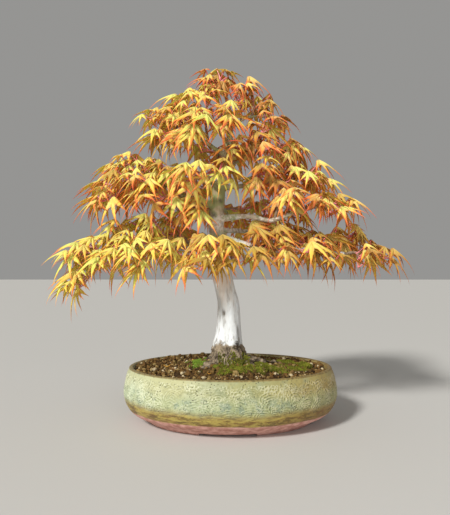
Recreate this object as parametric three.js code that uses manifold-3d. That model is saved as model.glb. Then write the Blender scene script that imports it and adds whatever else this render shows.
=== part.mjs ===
// Katsura japanese maple bonsai in its oval glazed pot.
// Millimetres, +Z up, front towards -Y. The pot's foot stands on z = 0.
import * as THREE from 'three';
import { mergeVertices } from 'three/addons/utils/BufferGeometryUtils.js';
import Module from 'manifold-3d';

const wasm = await Module();
wasm.setup();

// Pot
const POT_HALF_LENGTH = 130;
const POT_HALF_DEPTH = 104;
const POT_SIDES = 32;
const FOOT_INSET = 34;
const FOOT_HEIGHT = 3.5;
const FOOT_WIDTH = 12;
const FOOT_GAP_FRONT = 64;
const FOOT_GAP_FRONT_X = -3;
const FOOT_GAP_SIDE = 50;
const FLOOR_TOP = 9;
const DRAIN_RADIUS = 9;
const DRAIN_OFFSET = 45;
const DRAIN_SIDES = 16;
const FIT_GAP = 0.35;

// Height and inset from the widest oval, from the foot up to the rim
const POT_OUTSIDE = [[0, FOOT_INSET], [6, 24], [12.8, 10.7], [22, 3.3], [36, 0], [52, 2.4], [64.2, 6.1]];
const POT_INSIDE = [[FLOOR_TOP, FOOT_INSET], [14, 18], [22, 11], [38, 7.5], [66, 13]];

// Plastic screens over the drain holes
const SCREEN_SIZE = 28;
const SCREEN_THICKNESS = 1;
const SCREEN_BARS = 3;
const SCREEN_BAR_WIDTH = 2.2;

// Soil, which rises from the pot's wall to the trunk
const SOIL_EDGE_HEIGHT = 58.5;
const SOIL_RISE = 13.5;
const SOIL_RISE_REACH = 0.78;
const SOIL_WAVE = 0.9;
const SOIL_DIP = 2.5;
const SOIL_WALL_GAP = 0.45;
const SOIL_RINGS = [1, 0.8, 0.6, 0.4];

// Leaves: a five-lobed blade on a petiole, sizes as shares of the middle lobe's length
const LOBE_HALF_WIDTH = 0.115;
const LOBE_WIDEST = 0.45;
const LOBE_FREE_FROM = 0.12;
const LOBE_HALF_THICKNESS = 0.75;
const SHOULDER_ANGLE = 10;
const SINUS_DEPTH = 0.24;
const OUTER_SINUS_DEPTH = 0.2;
const NOTCH_DEPTH = 0.07;
const NOTCH_DROOP = 10;
const LEAF_LENGTHS = [34, 43];
const TOP_LEAVES_FROM = 370;
const TOP_LEAF_SHARE = 0.86;
const HUB_HALF_THICKNESS = 1.1;
const PETIOLE_LENGTHS = [10, 19];
const PETIOLE_RADIUS = 0.75;
const PETIOLE_BASE_RADIUS = 0.55;

// Twigs: a stem that forks at a share of the way to its ends, a little raised
const TWIG_RADII = [2, 1.6, 1.4];
const TWIG_SIDES = 3;
const FORK_SHARE = 0.42;
const FORK_RISE = 0.06;
const SIDE_TWIG_START = 0.06;

// Lobes: angle from the middle one, share of its length, droop below the blade's plane
const LOBES = [
  { angle: -76, share: 0.62, droop: 40, plain: true },
  { angle: -38, share: 0.9, droop: 30, plain: false },
  { angle: 0, share: 1, droop: 20, plain: false },
  { angle: 38, share: 0.9, droop: 30, plain: false },
  { angle: 76, share: 0.62, droop: 40, plain: true },
];

// Growth of the leaves: a pair at the end and one at the middle of each twig
const LEAF_SEED = 55;
const LEAF_TRIES = 120;
const LEAF_STRAY = 2.4;
const LEAF_CLEARANCE = 0.35;
const LEAF_PAIRS = [
  { share: 0.97, spread: 32 },
  { share: 0.5, spread: 66 },
];
const LEAF_SWING = { stalk: 40, lift: 44, face: 40, pitch: 44, roll: 36 };
const PETIOLE_LIFT = 30;
const PETIOLE_UNDER_BLADE = -0.35;
const PETIOLE_ALONG_LOBE = 0.8;
const BLADE_PITCH = 38;
const BLADE_PITCH_RANGE = [12, 62];
const BLADE_OUTWARD = 0.75;
const CROWN_AXIS = [-10, 0];

// The trunk from the root crown to the leader: x, y, z, radius
const TRUNK = [
  [-2, 0, 44, 27], [-1.5, 0, 62, 27], [-2, 0, 73, 23.5], [-3, 0, 90, 18.6], [-1.6, 0, 108, 15.3],
  [-2.5, 0, 140, 13.4], [-6.5, -1, 158, 12.4], [-10, -2, 175, 12.2], [-13.5, -3, 201, 10.6],
  [-15.8, -3, 224, 9.4], [-17, -2, 244, 9.2], [-16.5, -1, 262, 9], [-14, 0, 284, 8.2],
  [-7, 1, 300, 6.6], [-6, 2, 316, 6], [-2.5, 3, 334, 5.4], [0, 3, 352, 4.2], [0, 2, 372, 3.3],
  [-3, 1, 392, 2.5], [-8, 0, 408, 1.8],
];
const TRUNK_SIDES = 11;
const BUTTRESS_DEPTH = 0.1;
const BUTTRESS_HEIGHTS = [60, 120];
const TRUNK_RIPPLE = 0.035;
const BRANCH_SIDES = 5;
const BRANCH_STEPS = 4;

// Surface roots: radius at the crown and at the end, then x, y along the soil
const ROOT_SINK = 0.5;
const ROOTS = [
  { radii: [10, 3.2], way: [[-10, -6], [-24, -19], [-38, -29], [-47, -34]] },
  { radii: [10, 3.4], way: [[6, -6], [21, -12], [34, -17], [44, -25]] },
  { radii: [9, 2.4], way: [[8, 5], [30, 13], [60, 18], [92, 22]] },
  { radii: [9, 3], way: [[-12, 8], [-30, 22], [-44, 34]] },
];

// Branches: bends, radius at both ends, and their sprays. A spray leaves the branch
// at the share "at" of its length and forks to the twig ends that are listed.
const BRANCHES = [
  {
    name: 'low_left',
    radii: [5.2, 2.4],
    bends: [[-13, -2, 206], [-37, -8, 209], [-58, -14, 209], [-98, -20, 212], [-138, -16, 208]],
    sprays: [
      { at: 0.36, ends: [[-72, 10, 243], [-90, 32, 232]] },
      { at: 0.45, ends: [[-64, -30, 205], [-79, -52, 206]] },
      { at: 0.55, ends: [[-93, -6, 243], [-119, 20, 241]] },
      { at: 0.65, ends: [[-111, -38, 219], [-100, -50, 182]] },
      { at: 0.8, ends: [[-150, 8, 216], [-126, 36, 216]] },
      { at: 0.88, ends: [[-112, -58, 199], [-138, -48, 194]] },
      { at: 1, ends: [[-163, -16, 209], [-176, -26, 164]] },
    ],
  },
  {
    name: 'low_right',
    radii: [6, 2.4],
    bends: [[-15, -2, 224], [12, -8, 216], [40, -15, 207], [84, -22, 207], [138, -19, 203]],
    sprays: [
      { at: 0.36, ends: [[33, -34, 222], [36, -50, 202]] },
      { at: 0.45, ends: [[58, -16, 223], [74, 4, 225]] },
      { at: 0.55, ends: [[56, -54, 199], [90, -50, 203]] },
      { at: 0.65, ends: [[100, 8, 223], [92, 34, 220]] },
      { at: 0.76, ends: [[104, -30, 211], [118, -48, 192]] },
      { at: 0.86, ends: [[130, 22, 231], [144, 8, 222], [152, 38, 212]] },
      { at: 1, ends: [[186, -22, 197], [150, -42, 196], [172, 14, 211]] },
    ],
  },
  {
    name: 'low_front',
    radii: [4.2, 2.2],
    bends: [[-13, -4, 206], [-12, -34, 212], [-12, -58, 211]],
    sprays: [
      { at: 0.6, ends: [[-34, -58, 211], [-42, -52, 190]] },
      { at: 0.7, ends: [[2, -62, 208], [8, -44, 190]] },
      { at: 1, ends: [[-16, -76, 210], [-26, -72, 192]] },
    ],
  },
  {
    name: 'low_back_left',
    radii: [4.6, 2.2],
    bends: [[-15, 0, 216], [-45, 38, 222], [-74, 64, 222]],
    sprays: [
      { at: 0.55, ends: [[-46, 82, 226], [-84, 44, 226]] },
      { at: 1, ends: [[-100, 84, 220], [-80, 104, 214]] },
    ],
  },
  {
    name: 'low_back_right',
    radii: [4.6, 2.2],
    bends: [[-15, 0, 232], [20, 40, 234], [54, 70, 228]],
    sprays: [
      { at: 0.55, ends: [[24, 84, 238], [62, 44, 236]] },
      { at: 1, ends: [[84, 88, 226], [66, 110, 218]] },
    ],
  },
  {
    name: 'mid_left',
    radii: [5.6, 2.2],
    bends: [[-17, -2, 262], [-43, -8, 270], [-59, -12, 274], [-80, -18, 270], [-108, -20, 280]],
    sprays: [
      { at: 0.28, ends: [[-46, -14, 251], [-36, -28, 250]] },
      { at: 0.42, ends: [[-78, -18, 307], [-92, 10, 319]] },
      { at: 0.5, ends: [[-79, -38, 267], [-96, -48, 264]] },
      { at: 0.62, ends: [[-116, 0, 318], [-100, 30, 300]] },
      { at: 0.72, ends: [[-98, -42, 288], [-124, -34, 292]] },
      { at: 0.85, ends: [[-146, 6, 308], [-138, 26, 284]] },
      { at: 1, ends: [[-152, -10, 289], [-152, -22, 266]] },
    ],
  },
  {
    name: 'mid_right',
    radii: [4.6, 2.2],
    bends: [[-16, -2, 246], [21, -10, 249], [49, -18, 243], [72, -24, 250], [100, -24, 258]],
    sprays: [
      { at: 0.42, ends: [[32, 10, 238], [48, 12, 244]] },
      { at: 0.55, ends: [[58, -28, 284], [66, -42, 271]] },
      { at: 0.65, ends: [[76, 10, 266], [84, 22, 250]] },
      { at: 0.85, ends: [[112, 0, 270], [98, -46, 262]] },
      { at: 1, ends: [[131, -20, 264], [118, -38, 250]] },
    ],
  },
  {
    name: 'mid_back',
    radii: [4.2, 2],
    bends: [[-16, 0, 256], [-8, 44, 262], [-4, 72, 262]],
    sprays: [
      { at: 0.6, ends: [[-36, 72, 268], [24, 70, 268]] },
      { at: 1, ends: [[-12, 102, 258], [8, 98, 254]] },
    ],
  },
  {
    name: 'mid_front',
    radii: [3.6, 2],
    bends: [[-15, -4, 282], [-24, -28, 292], [-34, -42, 294]],
    sprays: [
      { at: 1, ends: [[-12, -50, 296], [-40, -58, 296], [-56, -42, 288]] },
    ],
  },
  {
    name: 'high_right',
    radii: [4, 2],
    bends: [[-12, 0, 285], [20, 10, 290], [52, 16, 296], [82, 16, 300]],
    sprays: [
      { at: 0.45, ends: [[38, -24, 305], [46, 34, 300]] },
      { at: 0.6, ends: [[66, 24, 318], [76, -2, 307]] },
      { at: 0.8, ends: [[94, -18, 292], [104, 8, 308]] },
      { at: 1, ends: [[116, -4, 288], [110, 34, 300]] },
    ],
  },
  {
    name: 'high_back',
    radii: [3.8, 2],
    bends: [[-13, 0, 290], [-30, 32, 298], [-44, 50, 300]],
    sprays: [
      { at: 1, ends: [[-62, 68, 300], [-36, 78, 298], [-70, 42, 308]] },
    ],
  },
  {
    name: 'up_left',
    radii: [3.6, 1.8],
    bends: [[-6, 2, 326], [-30, -4, 342], [-54, -8, 360]],
    sprays: [
      { at: 0.45, ends: [[-42, -8, 399], [-28, -16, 391]] },
      { at: 0.6, ends: [[-60, 10, 396], [-84, 4, 377]] },
      { at: 0.7, ends: [[-59, -28, 338], [-42, -36, 346]] },
      { at: 1, ends: [[-66, -20, 369], [-84, -10, 345]] },
    ],
  },
  {
    name: 'up_right',
    radii: [3.6, 1.8],
    bends: [[-6, 2, 313], [20, -6, 322], [46, -8, 330]],
    sprays: [
      { at: 0.45, ends: [[24, -16, 348], [8, -28, 324]] },
      { at: 0.7, ends: [[38, -10, 352], [38, -28, 328]] },
      { at: 1, ends: [[80, 12, 338], [62, 6, 362], [86, 24, 328]] },
    ],
  },
  {
    name: 'up_back',
    radii: [3.2, 1.8],
    bends: [[-4, 2, 326], [-10, 30, 336], [-14, 48, 338]],
    sprays: [
      { at: 1, ends: [[-38, 56, 348], [14, 54, 346], [-18, 78, 334]] },
    ],
  },
  {
    name: 'up_front',
    radii: [3, 1.6],
    bends: [[-2, 2, 342], [-14, -20, 350], [-20, -32, 352]],
    sprays: [
      { at: 1, ends: [[-8, -40, 358], [-50, -32, 371], [-30, -48, 354]] },
    ],
  },
  {
    name: 'top_right',
    radii: [2.8, 1.6],
    bends: [[0, 2, 360], [18, -2, 372], [38, -2, 376]],
    sprays: [
      { at: 0.4, ends: [[14, -6, 408], [6, -18, 396]] },
      { at: 0.7, ends: [[28, 8, 408], [42, 0, 390]] },
      { at: 1, ends: [[54, 8, 372], [44, -16, 366]] },
    ],
  },
  {
    name: 'apex',
    radii: [2, 1.6],
    bends: [[-6, 0, 402], [-8, 0, 407], [-9, 0, 412]],
    sprays: [
      { at: 1, ends: [[-12, 2, 424], [-22, -6, 406]] },
    ],
  },
];

const UP = [0, 0, 1];
const radians = THREE.MathUtils.degToRad;

// Vectors as [x, y, z]
const add = (p, q) => [p[0] + q[0], p[1] + q[1], p[2] + q[2]];
const sub = (p, q) => [p[0] - q[0], p[1] - q[1], p[2] - q[2]];
const times = (p, k) => [p[0] * k, p[1] * k, p[2] * k];
const dot = (p, q) => p[0] * q[0] + p[1] * q[1] + p[2] * q[2];
const cross = (p, q) => [
  p[1] * q[2] - p[2] * q[1],
  p[2] * q[0] - p[0] * q[2],
  p[0] * q[1] - p[1] * q[0],
];
const lengthOf = (p) => Math.sqrt(dot(p, p));
const unit = (p) => times(p, 1 / lengthOf(p));
const mix = (p, q, t) => add(times(p, 1 - t), times(q, t));
const turn = (p, q, angle) => add(times(p, Math.cos(angle)), times(q, Math.sin(angle)));
const heading = (yaw) => [Math.cos(yaw), Math.sin(yaw), 0];

// Point at the share t of a smooth curve through the points
function along(points, t) {
  const last = points.length - 1;
  const x = Math.min(Math.max(t, 0), 1) * last;
  const i = Math.min(Math.floor(x), last - 1);
  const f = x - i;
  const p = [points[Math.max(i - 1, 0)], points[i], points[i + 1], points[Math.min(i + 2, last)]];
  return p[1].map((_, k) => 0.5 * (2 * p[1][k] + (p[2][k] - p[0][k]) * f
    + (2 * p[0][k] - 5 * p[1][k] + 4 * p[2][k] - p[3][k]) * f * f
    + (3 * p[1][k] - p[0][k] - 3 * p[2][k] + p[3][k]) * f * f * f));
}

// The same seed gives the same draws from 0 to 1
function seededDraw(seed) {
  let state = seed >>> 0;
  return () => {
    state = (state + 0x6D2B79F5) >>> 0;
    let t = state;
    t = Math.imul(t ^ (t >>> 15), t | 1);
    t ^= t + Math.imul(t ^ (t >>> 7), t | 61);
    return ((t ^ (t >>> 14)) >>> 0) / 4294967296;
  };
}

// Closed solids from points and triangles
function solid(points, faces) {
  return new wasm.Manifold(new wasm.Mesh({
    numProp: 3,
    vertProperties: new Float32Array(points.flat()),
    triVerts: new Uint32Array(faces.flat()),
  }));
}

// Solid between rings of points, which run counter-clockwise seen from the last one
function loft(rings) {
  const sides = rings[0].length;
  const top = (rings.length - 1) * sides;
  const faces = [];
  for (let r = 0; r + 1 < rings.length; r += 1) {
    for (let i = 0; i < sides; i += 1) {
      const [a, b] = [r * sides + i, r * sides + ((i + 1) % sides)];
      faces.push([a, b, b + sides], [a, b + sides, a + sides]);
    }
  }
  for (let i = 1; i + 1 < sides; i += 1) {
    faces.push([0, i + 1, i], [top, top + i, top + i + 1]);
  }
  return solid(rings.flat(), faces);
}

// Tapered tube along a path, its ends closed by flat caps
function tube(path, radii, sides, ripple = () => 1) {
  let side = null;
  const rings = path.map((point, i) => {
    const ahead = path[Math.min(i + 1, path.length - 1)];
    const tangent = unit(sub(ahead, path[Math.max(i - 1, 0)]));
    const guess = side ?? (Math.abs(tangent[2]) > 0.7 ? [1, 0, 0] : UP);
    side = unit(sub(guess, times(tangent, dot(guess, tangent))));
    const other = cross(tangent, side);
    return Array.from({ length: sides }, (_, k) => {
      const angle = (2 * Math.PI * k) / sides;
      return add(point, times(turn(side, other, angle), radii[i] * ripple(angle, point)));
    });
  });
  return loft(rings);
}

const join = (solids) => solids.reduce((whole, piece) => whole.add(piece));

// Oval ring at a height, inset from the pot's widest oval
function ovalRing(height, inset) {
  return Array.from({ length: POT_SIDES }, (_, k) => {
    const angle = (2 * Math.PI * k) / POT_SIDES;
    return [
      (POT_HALF_LENGTH - inset) * Math.cos(angle),
      (POT_HALF_DEPTH - inset) * Math.sin(angle),
      height,
    ];
  });
}

function ovalSolid(profile) {
  return loft(profile.map(([height, inset]) => ovalRing(height, inset)));
}

// Solid of a closed three.js geometry, moved to its place
function solidOf(geometry, x, y, z) {
  geometry.translate(x, y, z);
  geometry.deleteAttribute('normal');
  geometry.deleteAttribute('uv');
  const merged = mergeVertices(geometry);
  return new wasm.Manifold(new wasm.Mesh({
    numProp: 3,
    vertProperties: merged.attributes.position.array,
    triVerts: new Uint32Array(merged.index.array),
  }));
}

const block = (sx, sy, sz, x, y, z) => solidOf(new THREE.BoxGeometry(sx, sy, sz), x, y, z);

function drainHole(x, radius, bottom, top) {
  const geometry = new THREE.CylinderGeometry(radius, radius, top - bottom, DRAIN_SIDES);
  geometry.rotateX(Math.PI / 2);
  return solidOf(geometry, x, 0, (bottom + top) / 2);
}

function makePot() {
  const wall = ovalSolid(POT_OUTSIDE).subtract(ovalSolid(POT_INSIDE));
  const recessInset = FOOT_INSET + FOOT_WIDTH;
  const recess = ovalSolid([[-1, recessInset], [FOOT_HEIGHT, recessInset]]);
  const gapHeight = FOOT_HEIGHT + 1;
  const gapMiddle = FOOT_HEIGHT / 2 - 1;
  const gaps = [
    block(FOOT_GAP_FRONT, 3 * POT_HALF_DEPTH, gapHeight, FOOT_GAP_FRONT_X, 0, gapMiddle),
    block(3 * POT_HALF_LENGTH, FOOT_GAP_SIDE, gapHeight, 0, 0, gapMiddle),
  ];
  const drains = [-DRAIN_OFFSET, DRAIN_OFFSET].map((x) => drainHole(x, DRAIN_RADIUS, -1, FLOOR_TOP + 1));
  return wall.subtract(join([recess, ...gaps, ...drains]));
}

// Screen of crossed bars, cut from a plate
function makeScreen(x, grow = 0) {
  const height = FLOOR_TOP + FIT_GAP + SCREEN_THICKNESS / 2;
  const plate = block(
    SCREEN_SIZE + 2 * grow, SCREEN_SIZE + 2 * grow, SCREEN_THICKNESS + 2 * grow, x, 0, height,
  );
  if (grow) {
    return plate;
  }
  const pitch = (SCREEN_SIZE - SCREEN_BAR_WIDTH) / (SCREEN_BARS - 1);
  const mesh = pitch - SCREEN_BAR_WIDTH;
  const places = Array.from({ length: SCREEN_BARS - 1 }, (_, i) => (i - (SCREEN_BARS - 2) / 2) * pitch);
  const holes = places.flatMap((u) => places.map((v) => block(mesh, mesh, 3, x + u, v, height)));
  return plate.subtract(join(holes));
}

// Height of the soil, lowest at the back right, with small waves
function soilHeight(x, y) {
  const reach = Math.hypot(x / POT_HALF_LENGTH, y / POT_HALF_DEPTH) / SOIL_RISE_REACH;
  const rise = SOIL_RISE * (1 - THREE.MathUtils.smoothstep(reach, 0, 1));
  const wave = SOIL_WAVE * Math.sin(x * 0.11 + 1) * Math.sin(y * 0.13 + 2);
  const dip = SOIL_DIP * THREE.MathUtils.smoothstep(x / POT_HALF_LENGTH + y / POT_HALF_DEPTH, 0.6, 1.3);
  return SOIL_EDGE_HEIGHT + rise + wave - dip;
}

// Soil filling the pot, with plain holes for the trunk, the roots and the screens
function makeSoil(rootCutter) {
  const insideInset = (height) => {
    const upper = POT_INSIDE.findIndex(([z]) => z >= height);
    const [[z0, i0], [z1, i1]] = [POT_INSIDE[Math.max(upper - 1, 0)], POT_INSIDE[Math.max(upper, 1)]];
    return i0 + ((i1 - i0) * (height - z0)) / (z1 - z0) + SOIL_WALL_GAP;
  };
  const heights = [FLOOR_TOP + FIT_GAP, ...POT_INSIDE.slice(1, -1).map(([z]) => z)];
  const sides = heights.map((height) => ovalRing(height, insideInset(height)));
  const surface = SOIL_RINGS.map((share) => (
    ovalRing(0, insideInset(SOIL_EDGE_HEIGHT + 3)).map(([x, y]) => (
      [x * share, y * share, soilHeight(x * share, y * share)]
    ))
  ));
  const body = loft([...sides, ...surface]);
  const screens = [-DRAIN_OFFSET, DRAIN_OFFSET].map((x) => makeScreen(x, FIT_GAP));
  return body.subtract(join([rootCutter, ...screens]));
}

// Radii from first to last over a number of steps
const taper = ([first, last], steps) => (
  Array.from({ length: steps + 1 }, (_, i) => first + ((last - first) * i) / steps)
);
const samples = (points, steps) => Array.from({ length: steps + 1 }, (_, i) => along(points, i / steps));

// Trunk, branches and surface roots as one body; "extra" widens it all round
function makeTrunk(extra = 0) {
  const buttress = (angle, point) => {
    const flare = BUTTRESS_DEPTH * (1 - THREE.MathUtils.smoothstep(point[2], ...BUTTRESS_HEIGHTS));
    return 1 + flare * Math.sin(5 * angle + 0.8) + TRUNK_RIPPLE * Math.sin(3 * angle + point[2] * 0.05);
  };
  const stem = tube(TRUNK.map((p) => p.slice(0, 3)), TRUNK.map((p) => p[3] + extra), TRUNK_SIDES, buttress);
  const branches = BRANCHES.map(({ bends, radii }) => {
    const path = samples(bends, BRANCH_STEPS);
    const end = path[BRANCH_STEPS];
    path[BRANCH_STEPS] = add(end, times(unit(sub(end, path[BRANCH_STEPS - 1])), extra));
    return tube(path, taper(radii, BRANCH_STEPS).map((r) => r + extra), BRANCH_SIDES);
  });
  const roots = ROOTS.map(({ radii, way }) => {
    const steps = way.length - 1;
    const thick = taper(radii, steps);
    const path = way.map(([x, y], i) => [x, y, soilHeight(x, y) - ROOT_SINK * thick[i]]);
    return tube(path, thick.map((r) => r + extra), BRANCH_SIDES);
  });
  return join([stem, ...branches, ...roots]);
}

// Box around a straight piece: centre, its three axes, its half sizes
function boxAround(start, end, wide, halfWidth, halfThickness) {
  const way = sub(end, start);
  const length = lengthOf(way);
  const front = times(way, 1 / length);
  const side = unit(sub(wide, times(front, dot(wide, front))));
  return {
    centre: times(add(start, end), 0.5),
    axes: [front, side, cross(front, side)],
    half: [length / 2, halfWidth, halfThickness],
    reach: Math.hypot(length / 2, halfWidth, halfThickness),
  };
}

// Whether two boxes cross: no plane along their axes or edges parts them
const ROUNDING = 1e-9;
function boxesCross(a, b) {
  const way = sub(b.centre, a.centre);
  if (dot(way, way) > (a.reach + b.reach) ** 2) {
    return false;
  }
  const turned = a.axes.map((p) => b.axes.map((q) => dot(p, q)));
  const near = turned.map((row) => row.map(Math.abs));
  const inA = a.axes.map((p) => dot(way, p));
  const inB = b.axes.map((q) => dot(way, q));
  for (let i = 0; i < 3; i += 1) {
    const reachB = near[i][0] * b.half[0] + near[i][1] * b.half[1] + near[i][2] * b.half[2];
    const reachA = near[0][i] * a.half[0] + near[1][i] * a.half[1] + near[2][i] * a.half[2];
    if (Math.abs(inA[i]) > a.half[i] + reachB || Math.abs(inB[i]) > b.half[i] + reachA) {
      return false;
    }
  }
  for (let i = 0; i < 3; i += 1) {
    const [i1, i2] = [(i + 1) % 3, (i + 2) % 3];
    for (let k = 0; k < 3; k += 1) {
      const [k1, k2] = [(k + 1) % 3, (k + 2) % 3];
      const reachA = a.half[i1] * near[i2][k] + a.half[i2] * near[i1][k];
      const reachB = b.half[k1] * near[i][k2] + b.half[k2] * near[i][k1];
      if (Math.abs(inA[i2] * turned[i1][k] - inA[i1] * turned[i2][k]) > reachA + reachB + ROUNDING) {
        return false;
      }
    }
  }
  return true;
}

// Twigs of every spray: a stem from the branch's axis to a fork, then a twig to each end
function planSprays() {
  return BRANCHES.flatMap(({ name, bends, sprays }) => sprays.map(({ at, ends }, i) => {
    const root = along(bends, at);
    const middle = times(ends.reduce(add), 1 / ends.length);
    const rise = times(UP, FORK_RISE * lengthOf(sub(middle, root)));
    const fork = add(mix(root, middle, FORK_SHARE), rise);
    return { name: `spray_${name}_${i + 1}`, root, fork, ends, leaves: [] };
  }));
}

// Axes of a blade: forward, sideways and normal, with the direction of each lobe
function bladeAt(node, hub, yaw, pitch, roll, length) {
  const front = heading(yaw);
  const forward = turn(front, times(UP, -1), pitch);
  const flat = turn(UP, front, pitch);
  const level = cross(flat, forward);
  const side = turn(level, flat, roll);
  const normal = turn(flat, times(level, -1), roll);
  const lobes = LOBES.map(({ angle, share, droop }) => {
    const out = turn(forward, side, radians(angle));
    return {
      way: turn(out, times(normal, -1), radians(droop)),
      across: turn(side, times(forward, -1), radians(angle)),
      length: length * share,
    };
  });
  return { node, hub, forward, side, normal, length, lobes };
}

const leafBoxes = (leaf) => leaf.lobes.map((lobe) => boxAround(
  add(leaf.hub, times(lobe.way, lobe.length * LOBE_FREE_FROM)),
  add(leaf.hub, times(lobe.way, lobe.length)),
  lobe.across,
  LOBE_HALF_WIDTH * leaf.length + LEAF_CLEARANCE,
  LOBE_HALF_THICKNESS + LEAF_CLEARANCE,
));

const petioleBox = (leaf) => boxAround(
  leaf.node, leaf.hub, leaf.side, PETIOLE_RADIUS + LEAF_CLEARANCE, PETIOLE_RADIUS + LEAF_CLEARANCE,
);

// A drawn leaf at a node; it strays further from the plan with each try
function drawLeaf(draw, node, yaw, spread, attempt) {
  const stray = 1 + (LEAF_STRAY * attempt) / LEAF_TRIES;
  const bit = (swing) => radians((draw() - 0.5) * swing * stray);
  const between = ([least, most]) => least + (most - least) * draw();
  const stalk = yaw + radians(spread) + bit(LEAF_SWING.stalk);
  const lift = radians(PETIOLE_LIFT) + bit(LEAF_SWING.lift);
  const reach = between(PETIOLE_LENGTHS);
  const hub = add(node, times(turn(heading(stalk), UP, lift), reach));
  const outward = unit([hub[0] - CROWN_AXIS[0], hub[1] - CROWN_AXIS[1], 0]);
  const aim = mix(heading(stalk), outward, BLADE_OUTWARD);
  const face = Math.atan2(aim[1], aim[0]) + bit(LEAF_SWING.face);
  const [flattest, steepest] = BLADE_PITCH_RANGE.map(radians);
  const pitch = Math.min(Math.max(radians(BLADE_PITCH) + bit(LEAF_SWING.pitch), flattest), steepest);
  const roll = bit(LEAF_SWING.roll);
  const size = hub[2] > TOP_LEAVES_FROM ? TOP_LEAF_SHARE : 1;
  return bladeAt(node, hub, face, pitch, roll, between(LEAF_LENGTHS) * size);
}

// The petiole comes from under the blade and clears its own lobes
function petioleFits(leaf) {
  const way = unit(sub(leaf.node, leaf.hub));
  const under = dot(way, leaf.normal) < PETIOLE_UNDER_BLADE;
  return under && leaf.lobes.every((lobe) => dot(way, lobe.way) < PETIOLE_ALONG_LOBE);
}

// Leaves in pairs along every twig, each where it crosses nothing that is already there
function growLeaves(sprays) {
  const draw = seededDraw(LEAF_SEED);
  const taken = [];
  const take = (boxes, owner) => boxes.forEach((box) => taken.push({ box, owner }));
  const free = (boxes, owner) => boxes.every((box) => (
    taken.every((other) => other.owner === owner || !boxesCross(box, other.box))
  ));
  TRUNK.slice(1).forEach((upper, i) => {
    const lower = TRUNK[i];
    take([boxAround(lower.slice(0, 3), upper.slice(0, 3), [0, 1, 0], lower[3] + 1, lower[3] + 1)], 'wood');
  });
  BRANCHES.forEach(({ bends, radii }) => {
    const thick = taper(radii, BRANCH_STEPS);
    const path = samples(bends, BRANCH_STEPS);
    path.slice(1).forEach((upper, i) => {
      take([boxAround(path[i], upper, UP, thick[i] + 0.4, thick[i] + 0.4)], 'wood');
    });
  });
  const thick = TWIG_RADII[0] + LEAF_CLEARANCE;
  sprays.forEach(({ name, root, fork, ends }) => {
    take([boxAround(root, fork, UP, thick, thick)], name);
    take(ends.map((end) => boxAround(fork, end, UP, thick, thick)), name);
  });
  LEAF_PAIRS.forEach(({ share, spread }) => sprays.forEach((spray) => spray.ends.forEach((end) => {
    const node = mix(spray.fork, end, share);
    const yaw = Math.atan2(end[1] - spray.fork[1], end[0] - spray.fork[0]);
    [-spread, spread].forEach((side) => {
      for (let attempt = 0; attempt < LEAF_TRIES; attempt += 1) {
        const leaf = drawLeaf(draw, node, yaw, side, attempt);
        const blade = leafBoxes(leaf);
        const petiole = [petioleBox(leaf)];
        if (petioleFits(leaf) && free(blade, null) && free(petiole, spray.name)) {
          take(blade, 'blade');
          take(petiole, spray.name);
          spray.leaves.push(leaf);
          break;
        }
      }
    });
  })));
}

// Blade with its outline of lobes, ridged on top, and its petiole down to the twig
function leafSolid(leaf) {
  const { node, hub, forward, side, normal, length } = leaf;
  const spoke = (angle, droop, reach) => {
    const out = turn(forward, side, radians(angle));
    return add(hub, times(turn(out, times(normal, -1), radians(droop)), reach * length));
  };
  const outline = [{ angle: 180, point: spoke(180, NOTCH_DROOP, NOTCH_DEPTH) }];
  LOBES.forEach(({ angle, share, droop, plain }, i) => {
    const lobe = leaf.lobes[i];
    const tip = { angle, point: add(hub, times(lobe.way, lobe.length)) };
    const middle = add(hub, times(lobe.way, lobe.length * LOBE_WIDEST));
    const shoulder = (sign) => ({
      angle: angle + sign * SHOULDER_ANGLE,
      point: add(middle, times(lobe.across, sign * LOBE_HALF_WIDTH * length)),
    });
    outline.push(...(plain ? [tip] : [shoulder(-1), tip, shoulder(1)]));
    const next = LOBES[i + 1];
    if (next) {
      const depth = plain || next.plain ? OUTER_SINUS_DEPTH : SINUS_DEPTH;
      const between = (angle + next.angle) / 2;
      outline.push({ angle: between, point: spoke(between, (droop + next.droop) / 2, depth) });
    }
  });
  const count = outline.length;
  const crown = count;
  const ring = (k) => count + 1 + (k % 3);
  const foot = (k) => count + 4 + (k % 3);
  const stalk = unit(sub(hub, node));
  const ringWay = [60, 180, 300].map((angle) => turn(forward, side, radians(angle)));
  const points = [
    ...outline.map(({ point }) => point),
    add(hub, times(normal, HUB_HALF_THICKNESS)),
    ...ringWay.map((way) => add(hub, add(times(way, PETIOLE_RADIUS), times(normal, -HUB_HALF_THICKNESS)))),
    ...ringWay.map((way) => {
      const level = unit(sub(way, times(stalk, dot(way, stalk))));
      return add(node, times(level, PETIOLE_BASE_RADIUS));
    }),
  ];
  const nearest = ({ angle }) => (Math.abs(angle) > 120 ? 1 : Number(angle < 0) * 2);
  const faces = [[foot(2), foot(1), foot(0)]];
  outline.forEach((corner, i) => {
    const j = (i + 1) % count;
    const [here, next] = [nearest(corner), nearest(outline[j])];
    faces.push([crown, i, j], [ring(here), j, i]);
    if (here !== next) {
      faces.push([ring(here), ring(next), j]);
    }
  });
  [0, 1, 2].forEach((k) => {
    faces.push([ring(k + 1), ring(k), foot(k)], [ring(k + 1), foot(k), foot(k + 1)]);
  });
  return solid(points, faces);
}

// The largest body of a solid, without loose scraps
function mainBody(whole) {
  return whole.decompose().reduce((best, piece) => (piece.volume() > best.volume() ? piece : best));
}

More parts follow.
